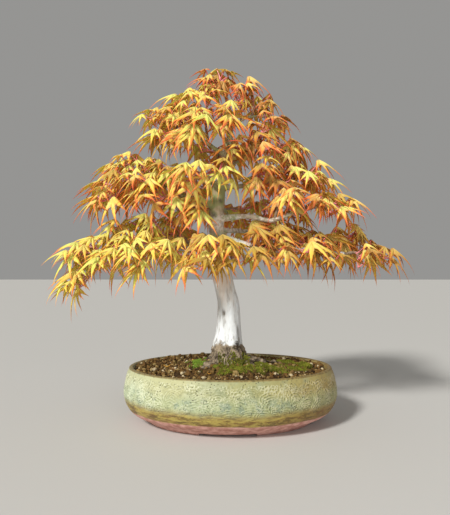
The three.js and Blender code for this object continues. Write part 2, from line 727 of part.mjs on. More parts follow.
function makeSpray(spray, widerTrunk) {
  const { root, fork, ends, leaves } = spray;
  const main = tube([root, fork, ends[0]], TWIG_RADII, TWIG_SIDES);
  const start = mix(fork, ends[0], SIDE_TWIG_START);
  const twigs = ends.slice(1).map((end) => tube([start, end], TWIG_RADII.slice(1), TWIG_SIDES));
  return mainBody(join([main, ...twigs, ...leaves.map(leafSolid)]).subtract(widerTrunk));
}

// Meshes
function meshOf(name, whole, look) {
  const { vertProperties, triVerts } = whole.getMesh();
  const geometry = new THREE.BufferGeometry();
  geometry.setAttribute('position', new THREE.BufferAttribute(new Float32Array(vertProperties), 3));
  geometry.setIndex(new THREE.BufferAttribute(new Uint32Array(triVerts), 1));
  geometry.computeVertexNormals();
  const mesh = new THREE.Mesh(geometry, new THREE.MeshStandardMaterial({ metalness: 0, ...look }));
  mesh.name = name;
  return mesh;
}

const bonsai = new THREE.Group();
bonsai.add(meshOf('pot', makePot(), { color: 0xa9b487, roughness: 0.35 }));
bonsai.add(meshOf('soil', makeSoil(makeTrunk(FIT_GAP)), { color: 0x6b5a3f, roughness: 0.95 }));
bonsai.add(meshOf('trunk', makeTrunk(), { color: 0xc9c6bc, roughness: 0.85 }));
[-DRAIN_OFFSET, DRAIN_OFFSET].forEach((x, i) => {
  bonsai.add(meshOf(`drain_screen_${i + 1}`, makeScreen(x), { color: 0x22241f, roughness: 0.6 }));
});

const sprays = planSprays();
growLeaves(sprays);
const widerTrunk = makeTrunk(FIT_GAP);
const lowColour = new THREE.Color(0xd9bf33);
const highColour = new THREE.Color(0xe08a3a);
sprays.forEach((spray) => {
  const height = THREE.MathUtils.clamp((spray.fork[2] - 200) / 200, 0, 1);
  const color = lowColour.clone().lerp(highColour, height);
  bonsai.add(meshOf(spray.name, makeSpray(spray, widerTrunk), { color, roughness: 0.6 }));
});

// The origin lies under the middle of the whole bonsai
const middle = new THREE.Box3().setFromObject(bonsai).getCenter(new THREE.Vector3());
bonsai.position.set(-middle.x, -middle.y, 0);
bonsai.updateMatrixWorld(true);

export default bonsai;
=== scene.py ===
# Katsura japanese maple bonsai: fine leaves, bark, glaze, soil grains and moss around the
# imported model. Tables are in millimetres from the middle of the pot's foot, as in the part.
import math

import bmesh
import bpy
import numpy as np
from mathutils import Matrix, Vector, noise


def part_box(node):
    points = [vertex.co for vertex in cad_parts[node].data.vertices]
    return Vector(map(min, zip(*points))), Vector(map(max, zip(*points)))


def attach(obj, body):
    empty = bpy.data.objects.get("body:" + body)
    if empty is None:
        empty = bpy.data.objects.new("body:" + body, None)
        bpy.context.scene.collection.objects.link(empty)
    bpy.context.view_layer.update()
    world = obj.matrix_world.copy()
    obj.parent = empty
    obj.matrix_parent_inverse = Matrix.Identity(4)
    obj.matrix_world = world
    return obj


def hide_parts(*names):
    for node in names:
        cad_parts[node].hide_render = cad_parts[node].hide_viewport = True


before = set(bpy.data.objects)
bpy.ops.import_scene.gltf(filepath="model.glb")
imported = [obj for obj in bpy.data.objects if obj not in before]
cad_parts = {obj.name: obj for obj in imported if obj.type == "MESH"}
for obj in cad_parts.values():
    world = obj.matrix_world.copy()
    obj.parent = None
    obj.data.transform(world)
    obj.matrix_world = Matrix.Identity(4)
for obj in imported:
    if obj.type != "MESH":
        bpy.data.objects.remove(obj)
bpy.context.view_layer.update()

MM = 0.001

# Middle of the pot in the frame, in millimetres
pot_low, pot_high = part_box("pot")
POT_MIDDLE = np.array([(pot_low.x + pot_high.x) / 2, (pot_low.y + pot_high.y) / 2, 0.0]) / MM

# Pot: height and inset from the widest oval, from the foot up to the rim
POT_HALF_LENGTH = 130.0
POT_HALF_DEPTH = 104.0
POT_OUTSIDE = [(0, 31.5), (6, 23), (12.8, 10.7), (22, 3.3), (36, 0), (52, 2.4), (64.2, 6.1)]
POT_INSIDE = [(9, 34), (14, 18), (22, 11), (38, 7.5), (66, 13)]
FOOT_INSET = 34.0
FOOT_HEIGHT = 3.5
FOOT_WIDTH = 12.0
FOOT_GAP_FRONT = 64.0
FOOT_GAP_FRONT_X = -3.0
FOOT_GAP_SIDE = 50.0
FLOOR_TOP = 9.0
DRAIN_RADIUS = 9.0
DRAIN_OFFSET = 45.0

# Soil
SOIL_EDGE_HEIGHT = 58.5
SOIL_RISE = 13.5
SOIL_RISE_REACH = 0.78
SOIL_WAVE = 0.9
SOIL_DIP = 2.5

# Leaves, as in the part: sizes are shares of the middle lobe's length
LOBES = [(-76, 0.62, 40), (-38, 0.9, 30), (0, 1.0, 20), (38, 0.9, 30), (76, 0.62, 40)]
LOBE_HALF_WIDTH = 0.115
LOBE_FREE_FROM = 0.12
LOBE_HALF_THICKNESS = 0.75
NOTCH_DEPTH = 0.07
NOTCH_DROOP = 10
LEAF_LENGTHS = (34.0, 43.0)
TOP_LEAVES_FROM = 370.0
TOP_LEAF_SHARE = 0.86
PETIOLE_LENGTHS = (10.0, 19.0)
PETIOLE_RADIUS = 0.75
TWIG_RADIUS = 2.0
FORK_SHARE = 0.42
FORK_RISE = 0.06
SIDE_TWIG_START = 0.06

# Growth of the leaves, as in the part
LEAF_SEED = 55
LEAF_TRIES = 120
LEAF_STRAY = 2.4
LEAF_CLEARANCE = 0.35
TRUNK_CLEARANCE = 1.0
BRANCH_CLEARANCE = 0.4
LEAF_PAIRS = [(0.97, 32), (0.5, 66)]
LEAF_SWING = {"stalk": 40, "lift": 44, "face": 40, "pitch": 44, "roll": 36}
PETIOLE_LIFT = 30
PETIOLE_UNDER_BLADE = -0.35
PETIOLE_ALONG_LOBE = 0.8
BLADE_PITCH = 38
BLADE_PITCH_RANGE = (12, 62)
BLADE_OUTWARD = 0.75
CROWN_AXIS = (-10.0, 0.0)

# The trunk from the root crown to the leader: x, y, z, radius
TRUNK = [
    (-2, 0, 44, 27), (-1.5, 0, 62, 27), (-2, 0, 73, 23.5), (-3, 0, 90, 18.6), (-1.6, 0, 108, 15.3),
    (-2.5, 0, 140, 13.4), (-6.5, -1, 158, 12.4), (-10, -2, 175, 12.2), (-13.5, -3, 201, 10.6),
    (-15.8, -3, 224, 9.4), (-17, -2, 244, 9.2), (-16.5, -1, 262, 9), (-14, 0, 284, 8.2),
    (-7, 1, 300, 6.6), (-6, 2, 316, 6), (-2.5, 3, 334, 5.4), (0, 3, 352, 4.2), (0, 2, 372, 3.3),
    (-3, 1, 392, 2.5), (-8, 0, 408, 1.8),
]
BRANCH_STEPS = 4

# Surface roots: radius at the crown and at the end, then x, y along the soil
ROOT_SINK = 0.5
ROOTS = [
    ((10, 3.2), [(-10, -6), (-24, -19), (-38, -29), (-47, -34)]),
    ((10, 3.4), [(6, -6), (21, -12), (34, -17), (44, -25)]),
    ((9, 2.4), [(8, 5), (30, 13), (60, 18), (92, 22)]),
    ((9, 3), [(-12, 8), (-30, 22), (-44, 34)]),
]

# Branches: name, radius at both ends, how red its leaves are, bends, and its sprays as
# the share of the branch's length where each leaves it, with its twig ends
BRANCHES = [
    ("low_left", (5.2, 2.4), 0.04,
     [(-13, -2, 206), (-37, -8, 209), (-58, -14, 209), (-98, -20, 212), (-138, -16, 208)], [
         (0.36, [(-72, 10, 243), (-90, 32, 232)]),
         (0.45, [(-64, -30, 205), (-79, -52, 206)]),
         (0.55, [(-93, -6, 243), (-119, 20, 241)]),
         (0.65, [(-111, -38, 219), (-100, -50, 182)]),
         (0.8, [(-150, 8, 216), (-126, 36, 216)]),
         (0.88, [(-112, -58, 199), (-138, -48, 194)]),
         (1, [(-163, -16, 209), (-176, -26, 164)]),
     ]),
    ("low_right", (6, 2.4), 0.4,
     [(-15, -2, 224), (12, -8, 216), (40, -15, 207), (84, -22, 207), (138, -19, 203)], [
         (0.36, [(33, -34, 222), (36, -50, 202)]),
         (0.45, [(58, -16, 223), (74, 4, 225)]),
         (0.55, [(56, -54, 199), (90, -50, 203)]),
         (0.65, [(100, 8, 223), (92, 34, 220)]),
         (0.76, [(104, -30, 211), (118, -48, 192)]),
         (0.86, [(130, 22, 231), (144, 8, 222), (152, 38, 212)]),
         (1, [(186, -22, 197), (150, -42, 196), (172, 14, 211)]),
     ]),
    ("low_front", (4.2, 2.2), 0.16,
     [(-13, -4, 206), (-12, -34, 212), (-12, -58, 211)], [
         (0.6, [(-34, -58, 211), (-42, -52, 190)]),
         (0.7, [(2, -62, 208), (8, -44, 190)]),
         (1, [(-16, -76, 210), (-26, -72, 192)]),
     ]),
    ("low_back_left", (4.6, 2.2), 0.4,
     [(-15, 0, 216), (-45, 38, 222), (-74, 64, 222)], [
         (0.55, [(-46, 82, 226), (-84, 44, 226)]),
         (1, [(-100, 84, 220), (-80, 104, 214)]),
     ]),
    ("low_back_right", (4.6, 2.2), 0.45,
     [(-15, 0, 232), (20, 40, 234), (54, 70, 228)], [
         (0.55, [(24, 84, 238), (62, 44, 236)]),
         (1, [(84, 88, 226), (66, 110, 218)]),
     ]),
    ("mid_left", (5.6, 2.2), 0.36,
     [(-17, -2, 262), (-43, -8, 270), (-59, -12, 274), (-80, -18, 270), (-108, -20, 280)], [
         (0.28, [(-46, -14, 251), (-36, -28, 250)]),
         (0.42, [(-78, -18, 307), (-92, 10, 319)]),
         (0.5, [(-79, -38, 267), (-96, -48, 264)]),
         (0.62, [(-116, 0, 318), (-100, 30, 300)]),
         (0.72, [(-98, -42, 288), (-124, -34, 292)]),
         (0.85, [(-146, 6, 308), (-138, 26, 284)]),
         (1, [(-152, -10, 289), (-152, -22, 266)]),
     ]),
    ("mid_right", (4.6, 2.2), 0.48,
     [(-16, -2, 246), (21, -10, 249), (49, -18, 243), (72, -24, 250), (100, -24, 258)], [
         (0.42, [(32, 10, 238), (48, 12, 244)]),
         (0.55, [(58, -28, 284), (66, -42, 271)]),
         (0.65, [(76, 10, 266), (84, 22, 250)]),
         (0.85, [(112, 0, 270), (98, -46, 262)]),
         (1, [(131, -20, 264), (118, -38, 250)]),
     ]),
    ("mid_back", (4.2, 2), 0.55,
     [(-16, 0, 256), (-8, 44, 262), (-4, 72, 262)], [
         (0.6, [(-36, 72, 268), (24, 70, 268)]),
         (1, [(-12, 102, 258), (8, 98, 254)]),
     ]),
    ("mid_front", (3.6, 2), 0.16,
     [(-15, -4, 282), (-24, -28, 292), (-34, -42, 294)], [
         (1, [(-12, -50, 296), (-40, -58, 296), (-56, -42, 288)]),
     ]),
    ("high_right", (4, 2), 0.5,
     [(-12, 0, 285), (20, 10, 290), (52, 16, 296), (82, 16, 300)], [
         (0.45, [(38, -24, 305), (46, 34, 300)]),
         (0.6, [(66, 24, 318), (76, -2, 307)]),
         (0.8, [(94, -18, 292), (104, 8, 308)]),
         (1, [(116, -4, 288), (110, 34, 300)]),
     ]),
    ("high_back", (3.8, 2), 0.55,
     [(-13, 0, 290), (-30, 32, 298), (-44, 50, 300)], [
         (1, [(-62, 68, 300), (-36, 78, 298), (-70, 42, 308)]),
     ]),
    ("up_left", (3.6, 1.8), 0.24,
     [(-6, 2, 326), (-30, -4, 342), (-54, -8, 360)], [
         (0.45, [(-42, -8, 399), (-28, -16, 391)]),
         (0.6, [(-60, 10, 396), (-84, 4, 377)]),
         (0.7, [(-59, -28, 338), (-42, -36, 346)]),
         (1, [(-66, -20, 369), (-84, -10, 345)]),
     ]),
    ("up_right", (3.6, 1.8), 0.54,
     [(-6, 2, 313), (20, -6, 322), (46, -8, 330)], [
         (0.45, [(24, -16, 348), (8, -28, 324)]),
         (0.7, [(38, -10, 352), (38, -28, 328)]),
         (1, [(80, 12, 338), (62, 6, 362), (86, 24, 328)]),
     ]),
    ("up_back", (3.2, 1.8), 0.5,
     [(-4, 2, 326), (-10, 30, 336), (-14, 48, 338)], [
         (1, [(-38, 56, 348), (14, 54, 346), (-18, 78, 334)]),
     ]),
    ("up_front", (3, 1.6), 0.3,
     [(-2, 2, 342), (-14, -20, 350), (-20, -32, 352)], [
         (1, [(-8, -40, 358), (-50, -32, 371), (-30, -48, 354)]),
     ]),
    ("top_right", (2.8, 1.6), 0.62,
     [(0, 2, 360), (18, -2, 372), (38, -2, 376)], [
         (0.4, [(14, -6, 408), (6, -18, 396)]),
         (0.7, [(28, 8, 408), (42, 0, 390)]),
         (1, [(54, 8, 372), (44, -16, 366)]),
     ]),
    ("apex", (2, 1.6), 0.6,
     [(-6, 0, 402), (-8, 0, 407), (-9, 0, 412)], [
         (1, [(-12, 2, 424), (-22, -6, 406)]),
     ]),
]

# Branches whose leaves take a lower, darker tone: painted shade on the pads that lie in shade
PAINTED_SHADE = {"low_right": 0.5, "low_front": 0.3, "mid_right": 0.12, "top_right": 0.1, "up_right": 0.08}

# Vectors as (x, y, z), in plain numbers, so that they round as they do in the part
UP = (0.0, 0.0, 1.0)


def add(p, q):
    return (p[0] + q[0], p[1] + q[1], p[2] + q[2])


def sub(p, q):
    return (p[0] - q[0], p[1] - q[1], p[2] - q[2])


def times(p, k):
    return (p[0] * k, p[1] * k, p[2] * k)


def dot(p, q):
    return p[0] * q[0] + p[1] * q[1] + p[2] * q[2]


def cross(p, q):
    return (p[1] * q[2] - p[2] * q[1], p[2] * q[0] - p[0] * q[2], p[0] * q[1] - p[1] * q[0])


def length_of(p):
    return math.sqrt(dot(p, p))


def unit(p):
    return times(p, 1 / length_of(p))


def mix(p, q, t):
    return add(times(p, 1 - t), times(q, t))


def turn(p, q, angle):
    return add(times(p, math.cos(angle)), times(q, math.sin(angle)))


def heading(yaw):
    return (math.cos(yaw), math.sin(yaw), 0.0)


def along(points, t):
    """Point at the share t of a smooth curve through the points."""
    last = len(points) - 1
    x = min(max(t, 0), 1) * last
    i = min(int(math.floor(x)), last - 1)
    f = x - i
    p = [points[max(i - 1, 0)], points[i], points[i + 1], points[min(i + 2, last)]]
    return tuple(
        0.5 * (2 * p[1][k] + (p[2][k] - p[0][k]) * f
               + (2 * p[0][k] - 5 * p[1][k] + 4 * p[2][k] - p[3][k]) * f * f
               + (3 * p[1][k] - p[0][k] - 3 * p[2][k] + p[3][k]) * f * f * f)
        for k in range(len(p[1]))
    )


def curve(points, steps):
    """Rows of points at even shares of a smooth curve."""
    return np.array([along(points, i / steps) for i in range(steps + 1)])


def smoothstep(x, low, high):
    t = np.clip((x - low) / (high - low), 0, 1)
    return t * t * (3 - 2 * t)


def seeded_draw(seed):
    """The same draws from 0 to 1 as the part's source makes."""
    whole = 0xFFFFFFFF
    state = seed & whole

    def draw():
        nonlocal state
        state = (state + 0x6D2B79F5) & whole
        t = ((state ^ (state >> 15)) * (state | 1)) & whole
        t ^= (t + (((t ^ (t >> 7)) * (t | 61)) & whole)) & whole
        return (t ^ (t >> 14)) / 4294967296

    return draw


# Boxes round lobes, petioles, twigs and branches, which keep leaves out of each other

def box_around(start, end, wide, half_width, half_thickness):
    """Middle, axes and half sizes of a box from start to end, its width towards wide."""
    way = sub(end, start)
    length = length_of(way)
    front = times(way, 1 / length)
    side = unit(sub(wide, times(front, dot(wide, front))))
    return (times(add(start, end), 0.5), (front, side, cross(front, side)),
            (length / 2, half_width, half_thickness))


class Taken:
    """The boxes that are already there, each with its owner's number."""

    def __init__(self, room=16000):
        self.count = 0
        self.centre = np.zeros((room, 3))
        self.axes = np.zeros((room, 3, 3))
        self.half = np.zeros((room, 3))
        self.reach = np.zeros(room)
        self.owner = np.zeros(room, int)

    def take(self, boxes, owner):
        for centre, axes, half in boxes:
            i = self.count
            self.centre[i] = centre
            self.axes[i] = axes
            self.half[i] = half
            self.reach[i] = math.hypot(*half)
            self.owner[i] = owner
            self.count += 1

    def free(self, boxes, owner):
        """Whether no box crosses one that is there, apart from the same owner's."""
        n = self.count
        centre = np.array([b[0] for b in boxes])
        axes = np.array([b[1] for b in boxes])
        half = np.array([b[2] for b in boxes])
        reach = np.sqrt((half ** 2).sum(1))
        way = self.centre[None, :n] - centre[:, None]
        near = (way ** 2).sum(2) <= (reach[:, None] + self.reach[None, :n]) ** 2
        near &= (self.owner[:n] != owner)[None]
        i, j = np.nonzero(near)
        if not len(i):
            return True
        return not boxes_cross(way[i, j], axes[i], half[i], self.axes[j], self.half[j])


def boxes_cross(way, axes_a, half_a, axes_b, half_b):
    """Whether any pair crosses: no plane along their axes or edges parts them."""
    turned = np.einsum("nik,njk->nij", axes_a, axes_b)
    near = np.abs(turned)
    in_a = np.einsum("nik,nk->ni", axes_a, way)
    in_b = np.einsum("nik,nk->ni", axes_b, way)
    parted = (np.abs(in_a) > half_a + np.einsum("nij,nj->ni", near, half_b)).any(1)
    parted |= (np.abs(in_b) > half_b + np.einsum("nij,ni->nj", near, half_a)).any(1)
    for i in range(3):
        i1, i2 = (i + 1) % 3, (i + 2) % 3
        for k in range(3):
            k1, k2 = (k + 1) % 3, (k + 2) % 3
            reach_a = half_a[:, i1] * near[:, i2, k] + half_a[:, i2] * near[:, i1, k]
            reach_b = half_b[:, k1] * near[:, i, k2] + half_b[:, k2] * near[:, i, k1]
            gap = np.abs(in_a[:, i2] * turned[:, i1, k] - in_a[:, i1] * turned[:, i2, k])
            parted |= gap > reach_a + reach_b + 1e-9
    return bool((~parted).any())


# Growth of the sprays

def plan_sprays():
    """Twigs of every spray: a stem from the branch's axis to a fork, then one to each end."""
    sprays = []
    for name, _, blush, bends, forks in BRANCHES:
        for i, (at, ends) in enumerate(forks):
            root = along(bends, at)
            total = ends[0]
            for end in ends[1:]:
                total = add(total, end)
            middle = times(total, 1 / len(ends))
            rise = times(UP, FORK_RISE * length_of(sub(middle, root)))
            fork = add(mix(root, middle, FORK_SHARE), rise)
            sprays.append({"name": f"spray_{name}_{i + 1}", "branch": name, "root": root, "fork": fork,
                           "ends": ends, "leaves": [], "blush": blush,
                           "painted_shade": PAINTED_SHADE.get(name, 0.0)})
    return sprays


def blade_at(node, hub, yaw, pitch, roll, length):
    """A leaf as its axes and its lobes: way, way across and length of each."""
    front = heading(yaw)
    forward = turn(front, times(UP, -1), pitch)
    flat = turn(UP, front, pitch)
    level = cross(flat, forward)
    side = turn(level, flat, roll)
    normal = turn(flat, times(level, -1), roll)
    lobes = []
    for angle, share, droop in LOBES:
        out = turn(forward, side, math.radians(angle))
        lobes.append((turn(out, times(normal, -1), math.radians(droop)),
                      turn(side, times(forward, -1), math.radians(angle)), length * share))
    return {"node": node, "hub": hub, "forward": forward, "side": side, "normal": normal,
            "length": length, "lobes": lobes}


def draw_leaf(draw, node, yaw, spread, attempt, scale=1):
    """A leaf by chance at a node; later attempts stray further."""
    stray = 1 + (LEAF_STRAY * attempt) / LEAF_TRIES

    def bit(swing):
        return math.radians((draw() - 0.5) * swing * stray)

    stalk = yaw + math.radians(spread) + bit(LEAF_SWING["stalk"])
    lift = math.radians(PETIOLE_LIFT) + bit(LEAF_SWING["lift"])
    reach = PETIOLE_LENGTHS[0] + (PETIOLE_LENGTHS[1] - PETIOLE_LENGTHS[0]) * draw()
    hub = add(node, times(turn(heading(stalk), UP, lift), reach))
    outward = unit((hub[0] - CROWN_AXIS[0], hub[1] - CROWN_AXIS[1], 0.0))
    aim = mix(heading(stalk), outward, BLADE_OUTWARD)
    face = math.atan2(aim[1], aim[0]) + bit(LEAF_SWING["face"])
    flattest, steepest = (math.radians(a) for a in BLADE_PITCH_RANGE)
    pitch = min(max(math.radians(BLADE_PITCH) + bit(LEAF_SWING["pitch"]), flattest), steepest)
    roll = bit(LEAF_SWING["roll"])
    size = scale * (TOP_LEAF_SHARE if hub[2] > TOP_LEAVES_FROM else 1)
    length = (LEAF_LENGTHS[0] + (LEAF_LENGTHS[1] - LEAF_LENGTHS[0]) * draw()) * size
    return blade_at(node, hub, face, pitch, roll, length)


def petiole_fits(leaf):
    """Whether the petiole comes in from under the blade and along no lobe."""
    way = unit(sub(leaf["node"], leaf["hub"]))
    if dot(way, leaf["normal"]) >= PETIOLE_UNDER_BLADE:
        return False
    return all(dot(way, lobe[0]) < PETIOLE_ALONG_LOBE for lobe in leaf["lobes"])


def leaf_boxes(leaf, first, last, half_width, half_thickness):
    """A box round each lobe, between two shares of its length."""
    return [
        box_around(add(leaf["hub"], times(way, length * first)),
                   add(leaf["hub"], times(way, length * last)), across, half_width, half_thickness)
        for way, across, length in leaf["lobes"]
    ]


def cad_boxes(leaf):
    return leaf_boxes(leaf, LOBE_FREE_FROM, 1, LOBE_HALF_WIDTH * leaf["length"] + LEAF_CLEARANCE,
                      LOBE_HALF_THICKNESS + LEAF_CLEARANCE)


def petiole_box(leaf, half):
    return [box_around(leaf["node"], leaf["hub"], leaf["side"], half, half)]


# Owners of boxes that belong to no spray
WOOD, BLADE, NOBODY = -1, -2, -3


def taper(radii, steps):
    return [radii[0] + ((radii[1] - radii[0]) * i) / steps for i in range(steps + 1)]


def take_trunk(taken, share, margin):
    """Boxes round the trunk, as wide as this share of it and a margin."""
    for lower, upper in zip(TRUNK, TRUNK[1:]):
        half = lower[3] * share + margin
        taken.take([box_around(lower[:3], upper[:3], (0.0, 1.0, 0.0), half, half)], WOOD)


def leaf_places(sprays, pairs):
    """Every place for a leaf: its pair, its spray's number, its spray, node, yaw and spread."""
    for pair, (share, spread) in enumerate(pairs):
        for number, spray in enumerate(sprays):
            for end in spray["ends"]:
                node = mix(spray["fork"], end, share)
                yaw = math.atan2(end[1] - spray["fork"][1], end[0] - spray["fork"][0])
                for side in (-spread, spread):
                    yield pair, number, spray, node, yaw, side


def grow_leaves(sprays):
    """The part's own leaves: the same draws and the same tests, so they lie on its solids."""
    draw = seeded_draw(LEAF_SEED)
    taken = Taken()
    take_trunk(taken, 1, TRUNK_CLEARANCE)
    for _, radii, _, bends, _ in BRANCHES:
        path = [along(bends, i / BRANCH_STEPS) for i in range(BRANCH_STEPS + 1)]
        for start, end, thick in zip(path, path[1:], taper(radii, BRANCH_STEPS)):
            half = thick + BRANCH_CLEARANCE
            taken.take([box_around(start, end, UP, half, half)], WOOD)
    half = TWIG_RADIUS + LEAF_CLEARANCE
    for number, spray in enumerate(sprays):
        taken.take([box_around(spray["root"], spray["fork"], UP, half, half)], number)
        taken.take([box_around(spray["fork"], end, UP, half, half) for end in spray["ends"]], number)
    for _, number, spray, node, yaw, side in leaf_places(sprays, LEAF_PAIRS):
        for attempt in range(LEAF_TRIES):
            leaf = draw_leaf(draw, node, yaw, side, attempt)
            if not petiole_fits(leaf):
                continue
            blade = cad_boxes(leaf)
            if not taken.free(blade, NOBODY):
                continue
            petiole = petiole_box(leaf, PETIOLE_RADIUS + LEAF_CLEARANCE)
            if taken.free(petiole, number):
                taken.take(blade, BLADE)
                taken.take(petiole, number)
                spray["leaves"].append(leaf)
                break


# Filler leaves between the part's own, as dense as the real crown
FILLER_SEED = 91
FILLER_TRIES = 26
FILLER_PAIRS = [
    (0.98, 48), (0.8, 58), (0.6, 70), (0.4, 62), (0.2, 68), (0.95, 100), (0.9, 16), (0.7, 30),
    (0.5, 100), (0.3, 24),
]
FULL_BRANCHES = ("apex", "low_front", "low_right", "top_right")
FULL_BRANCH_PAIRS = 6
FILLER_SIZES = (0.62, 0.98)
FILLER_WIDTH = 0.36
FILLER_HALF_THICKNESS = 0.3
FILLER_SPAN = (0.2, 0.9)
FILLER_STRAY = 3
FILLER_TRUNK_SHARE = 0.9

# Late shoots past the part's own twigs, where the real crown reaches a little further
LATE_SHOOTS = {
    "spray_low_left_7": [
        (-174, -4, 212), (-180, -34, 164), (-182, -14, 200), (-186, 6, 206), (-184, -30, 204),
        (-184, -28, 158),
    ],
    "spray_low_left_6": [(-146, -52, 188)],
    "spray_low_left_5": [(-138, -8, 232)],
    "spray_mid_left_4": [(-126, -16, 312)],
    "spray_mid_left_1": [(-66, -26, 260)],
    "spray_up_left_2": [(-95, -6, 370)],
    "spray_apex_1": [(-22, 0, 419)],
    "spray_up_front_1": [(-14, -36, 352), (-4, -34, 372)],
    "spray_low_front_1": [(-34, -64, 182)],
    "spray_low_front_2": [(6, -66, 186)],
    "spray_low_front_3": [(-10, -70, 184)],
    "spray_low_right_1": [(44, -48, 194)],
    "spray_low_right_6": [(154, 2, 228)],
    "spray_low_right_7": [(150, -36, 186)],
    "spray_mid_right_1": [(46, 16, 266)],
}

# How far right the tips of the filler leaves reach: height and x
CROWN_EDGE = [
    (190, 221), (207, 205), (220, 180), (251, 171), (270, 152), (288, 133), (313, 119), (328, 110),
    (336, 80), (342, 68), (382, 58), (406, 46), (428, 10),
]

# How far left and how low the tips of the filler leaves reach: x and height
CROWN_LEFT = -221.0
CROWN_BOTTOM = [
    (-200, 120), (-160, 152), (-152, 176), (-128, 156), (-110, 150), (-92, 162), (-80, 180), (-45, 181),
    (-33, 164), (0, 156), (12, 164), (26, 184), (36, 188), (50, 170), (66, 168), (84, 182), (108, 178),
    (120, 166), (136, 172), (152, 164), (166, 172), (190, 182), (210, 190),
]


def inside_crown(leaf):
    """Whether a filler leaf's tips stay inside the outline of the real crown."""
    for way, _, length in leaf["lobes"]:
        x, _, z = add(leaf["hub"], times(way, length))
        right = np.interp(z, *zip(*CROWN_EDGE))
        low = np.interp(x, *zip(*CROWN_BOTTOM))
        if x < CROWN_LEFT or x > right or z < low:
            return False
    return True


def filler_boxes(leaf):
    half_width = FILLER_WIDTH * LOBE_HALF_WIDTH * leaf["length"]
    return leaf_boxes(leaf, *FILLER_SPAN, half_width, FILLER_HALF_THICKNESS)


def grow_fillers(sprays):
    """Smaller leaves between the part's own, on late shoots too, clear of each other."""
    draw = seeded_draw(FILLER_SEED)
    taken = Taken()
    take_trunk(taken, FILLER_TRUNK_SHARE, 0)
    for spray in sprays:
        spray["ends"] = spray["ends"] + LATE_SHOOTS.get(spray["name"], [])
        for leaf in spray["leaves"]:
            taken.take(filler_boxes(leaf), BLADE)
    for pair, _, spray, node, yaw, side in leaf_places(sprays, FILLER_PAIRS):
        if spray["branch"] in FULL_BRANCHES and pair >= FULL_BRANCH_PAIRS:
            continue
        for attempt in range(FILLER_TRIES):
            size = FILLER_SIZES[0] + (FILLER_SIZES[1] - FILLER_SIZES[0]) * draw()
            leaf = draw_leaf(draw, node, yaw, side, attempt * FILLER_STRAY, size)
            if not (petiole_fits(leaf) and inside_crown(leaf)):
                continue
            if taken.free(filler_boxes(leaf), NOBODY):
                taken.take(filler_boxes(leaf), BLADE)
                spray["leaves"].append(leaf)
                break


# Meshes

def to_frame(points):
    """Millimetres from the pot's middle to metres in the frame."""
    return (np.asarray(points, float) + POT_MIDDLE) * MM


def point_rows(mesh, field):
    """What a mesh holds for its points, as rows of three."""
    flat = np.zeros(len(mesh.vertices) * 3)
    mesh.vertices.foreach_get(field, flat)
    return flat.reshape(-1, 3)


def read_points(mesh):
    """A mesh's points in millimetres from the pot's middle."""
    return point_rows(mesh, "co") / MM - POT_MIDDLE


def set_points(mesh, points):
    """Places for a mesh's points, given in millimetres from the pot's middle."""
    mesh.vertices.foreach_set("co", to_frame(points).astype(np.float32).ravel())


def set_look(mesh, values):
    """Four numbers a point, which the piece's material reads."""
    look = mesh.color_attributes.new("look", "FLOAT_COLOR", "POINT")
    look.data.foreach_set("color", values.astype(np.float32).ravel())


def applied(thing):
    """A new mesh of the object with its modifiers applied."""
    graph = bpy.context.evaluated_depsgraph_get()
    return bpy.data.meshes.new_from_object(thing.evaluated_get(graph))


def link_object(name, data):
    thing = bpy.data.objects.new(name, data)
    bpy.context.scene.collection.objects.link(thing)
    return thing


class Shape:
    """Points and faces that are gathered into one mesh."""

    def __init__(self):
        self.points = []
        self.faces = []
        self.slots = []
        self.values = []
        self.places = []
        self.count = 0

    def add(self, points, faces, slot=0, values=None, places=None):
        """faces are rows of corners; values are four numbers a point; places are UV a corner."""
        points = np.asarray(points, float)
        self.points.append(points)
        for block, where in zip(faces, places or [None] * len(faces)):
            block = np.asarray(block, int)
            self.faces.append(block + self.count)
            self.slots.append(np.full(len(block), slot))
            if where is None:
                where = np.zeros((block.size, 2))
            self.places.append(np.asarray(where, float).reshape(-1, 2))
        if values is None:
            values = np.zeros((len(points), 4))
        self.values.append(np.broadcast_to(values, (len(points), 4)))
        self.count += len(points)

    def piece(self, name, materials, sharp=60.0):
        """An object of what was added, smooth apart from edges past the sharp angle."""
        mesh = bpy.data.meshes.new(name)
        mesh.vertices.add(self.count)
        set_points(mesh, np.concatenate(self.points))
        corners = np.concatenate([f.ravel() for f in self.faces])
        sizes = np.concatenate([np.full(len(f), f.shape[1]) for f in self.faces])
        mesh.loops.add(len(corners))
        mesh.loops.foreach_set("vertex_index", corners.astype(np.int32))
        mesh.polygons.add(len(sizes))
        starts = np.concatenate([[0], np.cumsum(sizes)[:-1]])
        mesh.polygons.foreach_set("loop_start", starts.astype(np.int32))
        mesh.polygons.foreach_set("material_index", np.concatenate(self.slots).astype(np.int32))
        mesh.polygons.foreach_set("use_smooth", np.ones(len(sizes), bool))
        set_look(mesh, np.concatenate(self.values))
        uv = mesh.uv_layers.new(name="OFBake")
        uv.uv.foreach_set("vector", np.concatenate(self.places).astype(np.float32).ravel())
        for material in materials:
            mesh.materials.append(material)
        mesh.update(calc_edges=True)
        mesh.validate()
        mesh.set_sharp_from_angle(angle=math.radians(sharp))
        return link_object(name, mesh)


def ring_faces(rings, sides):
    """Quads between rings of points and a cap at each end."""
    a = np.arange(sides)
    b = (a + 1) % sides
    ring = np.stack([a, b, b + sides, a + sides], 1)
    quads = np.concatenate([ring + r * sides for r in range(rings - 1)])
    return quads, np.array([a[::-1], a + (rings - 1) * sides])


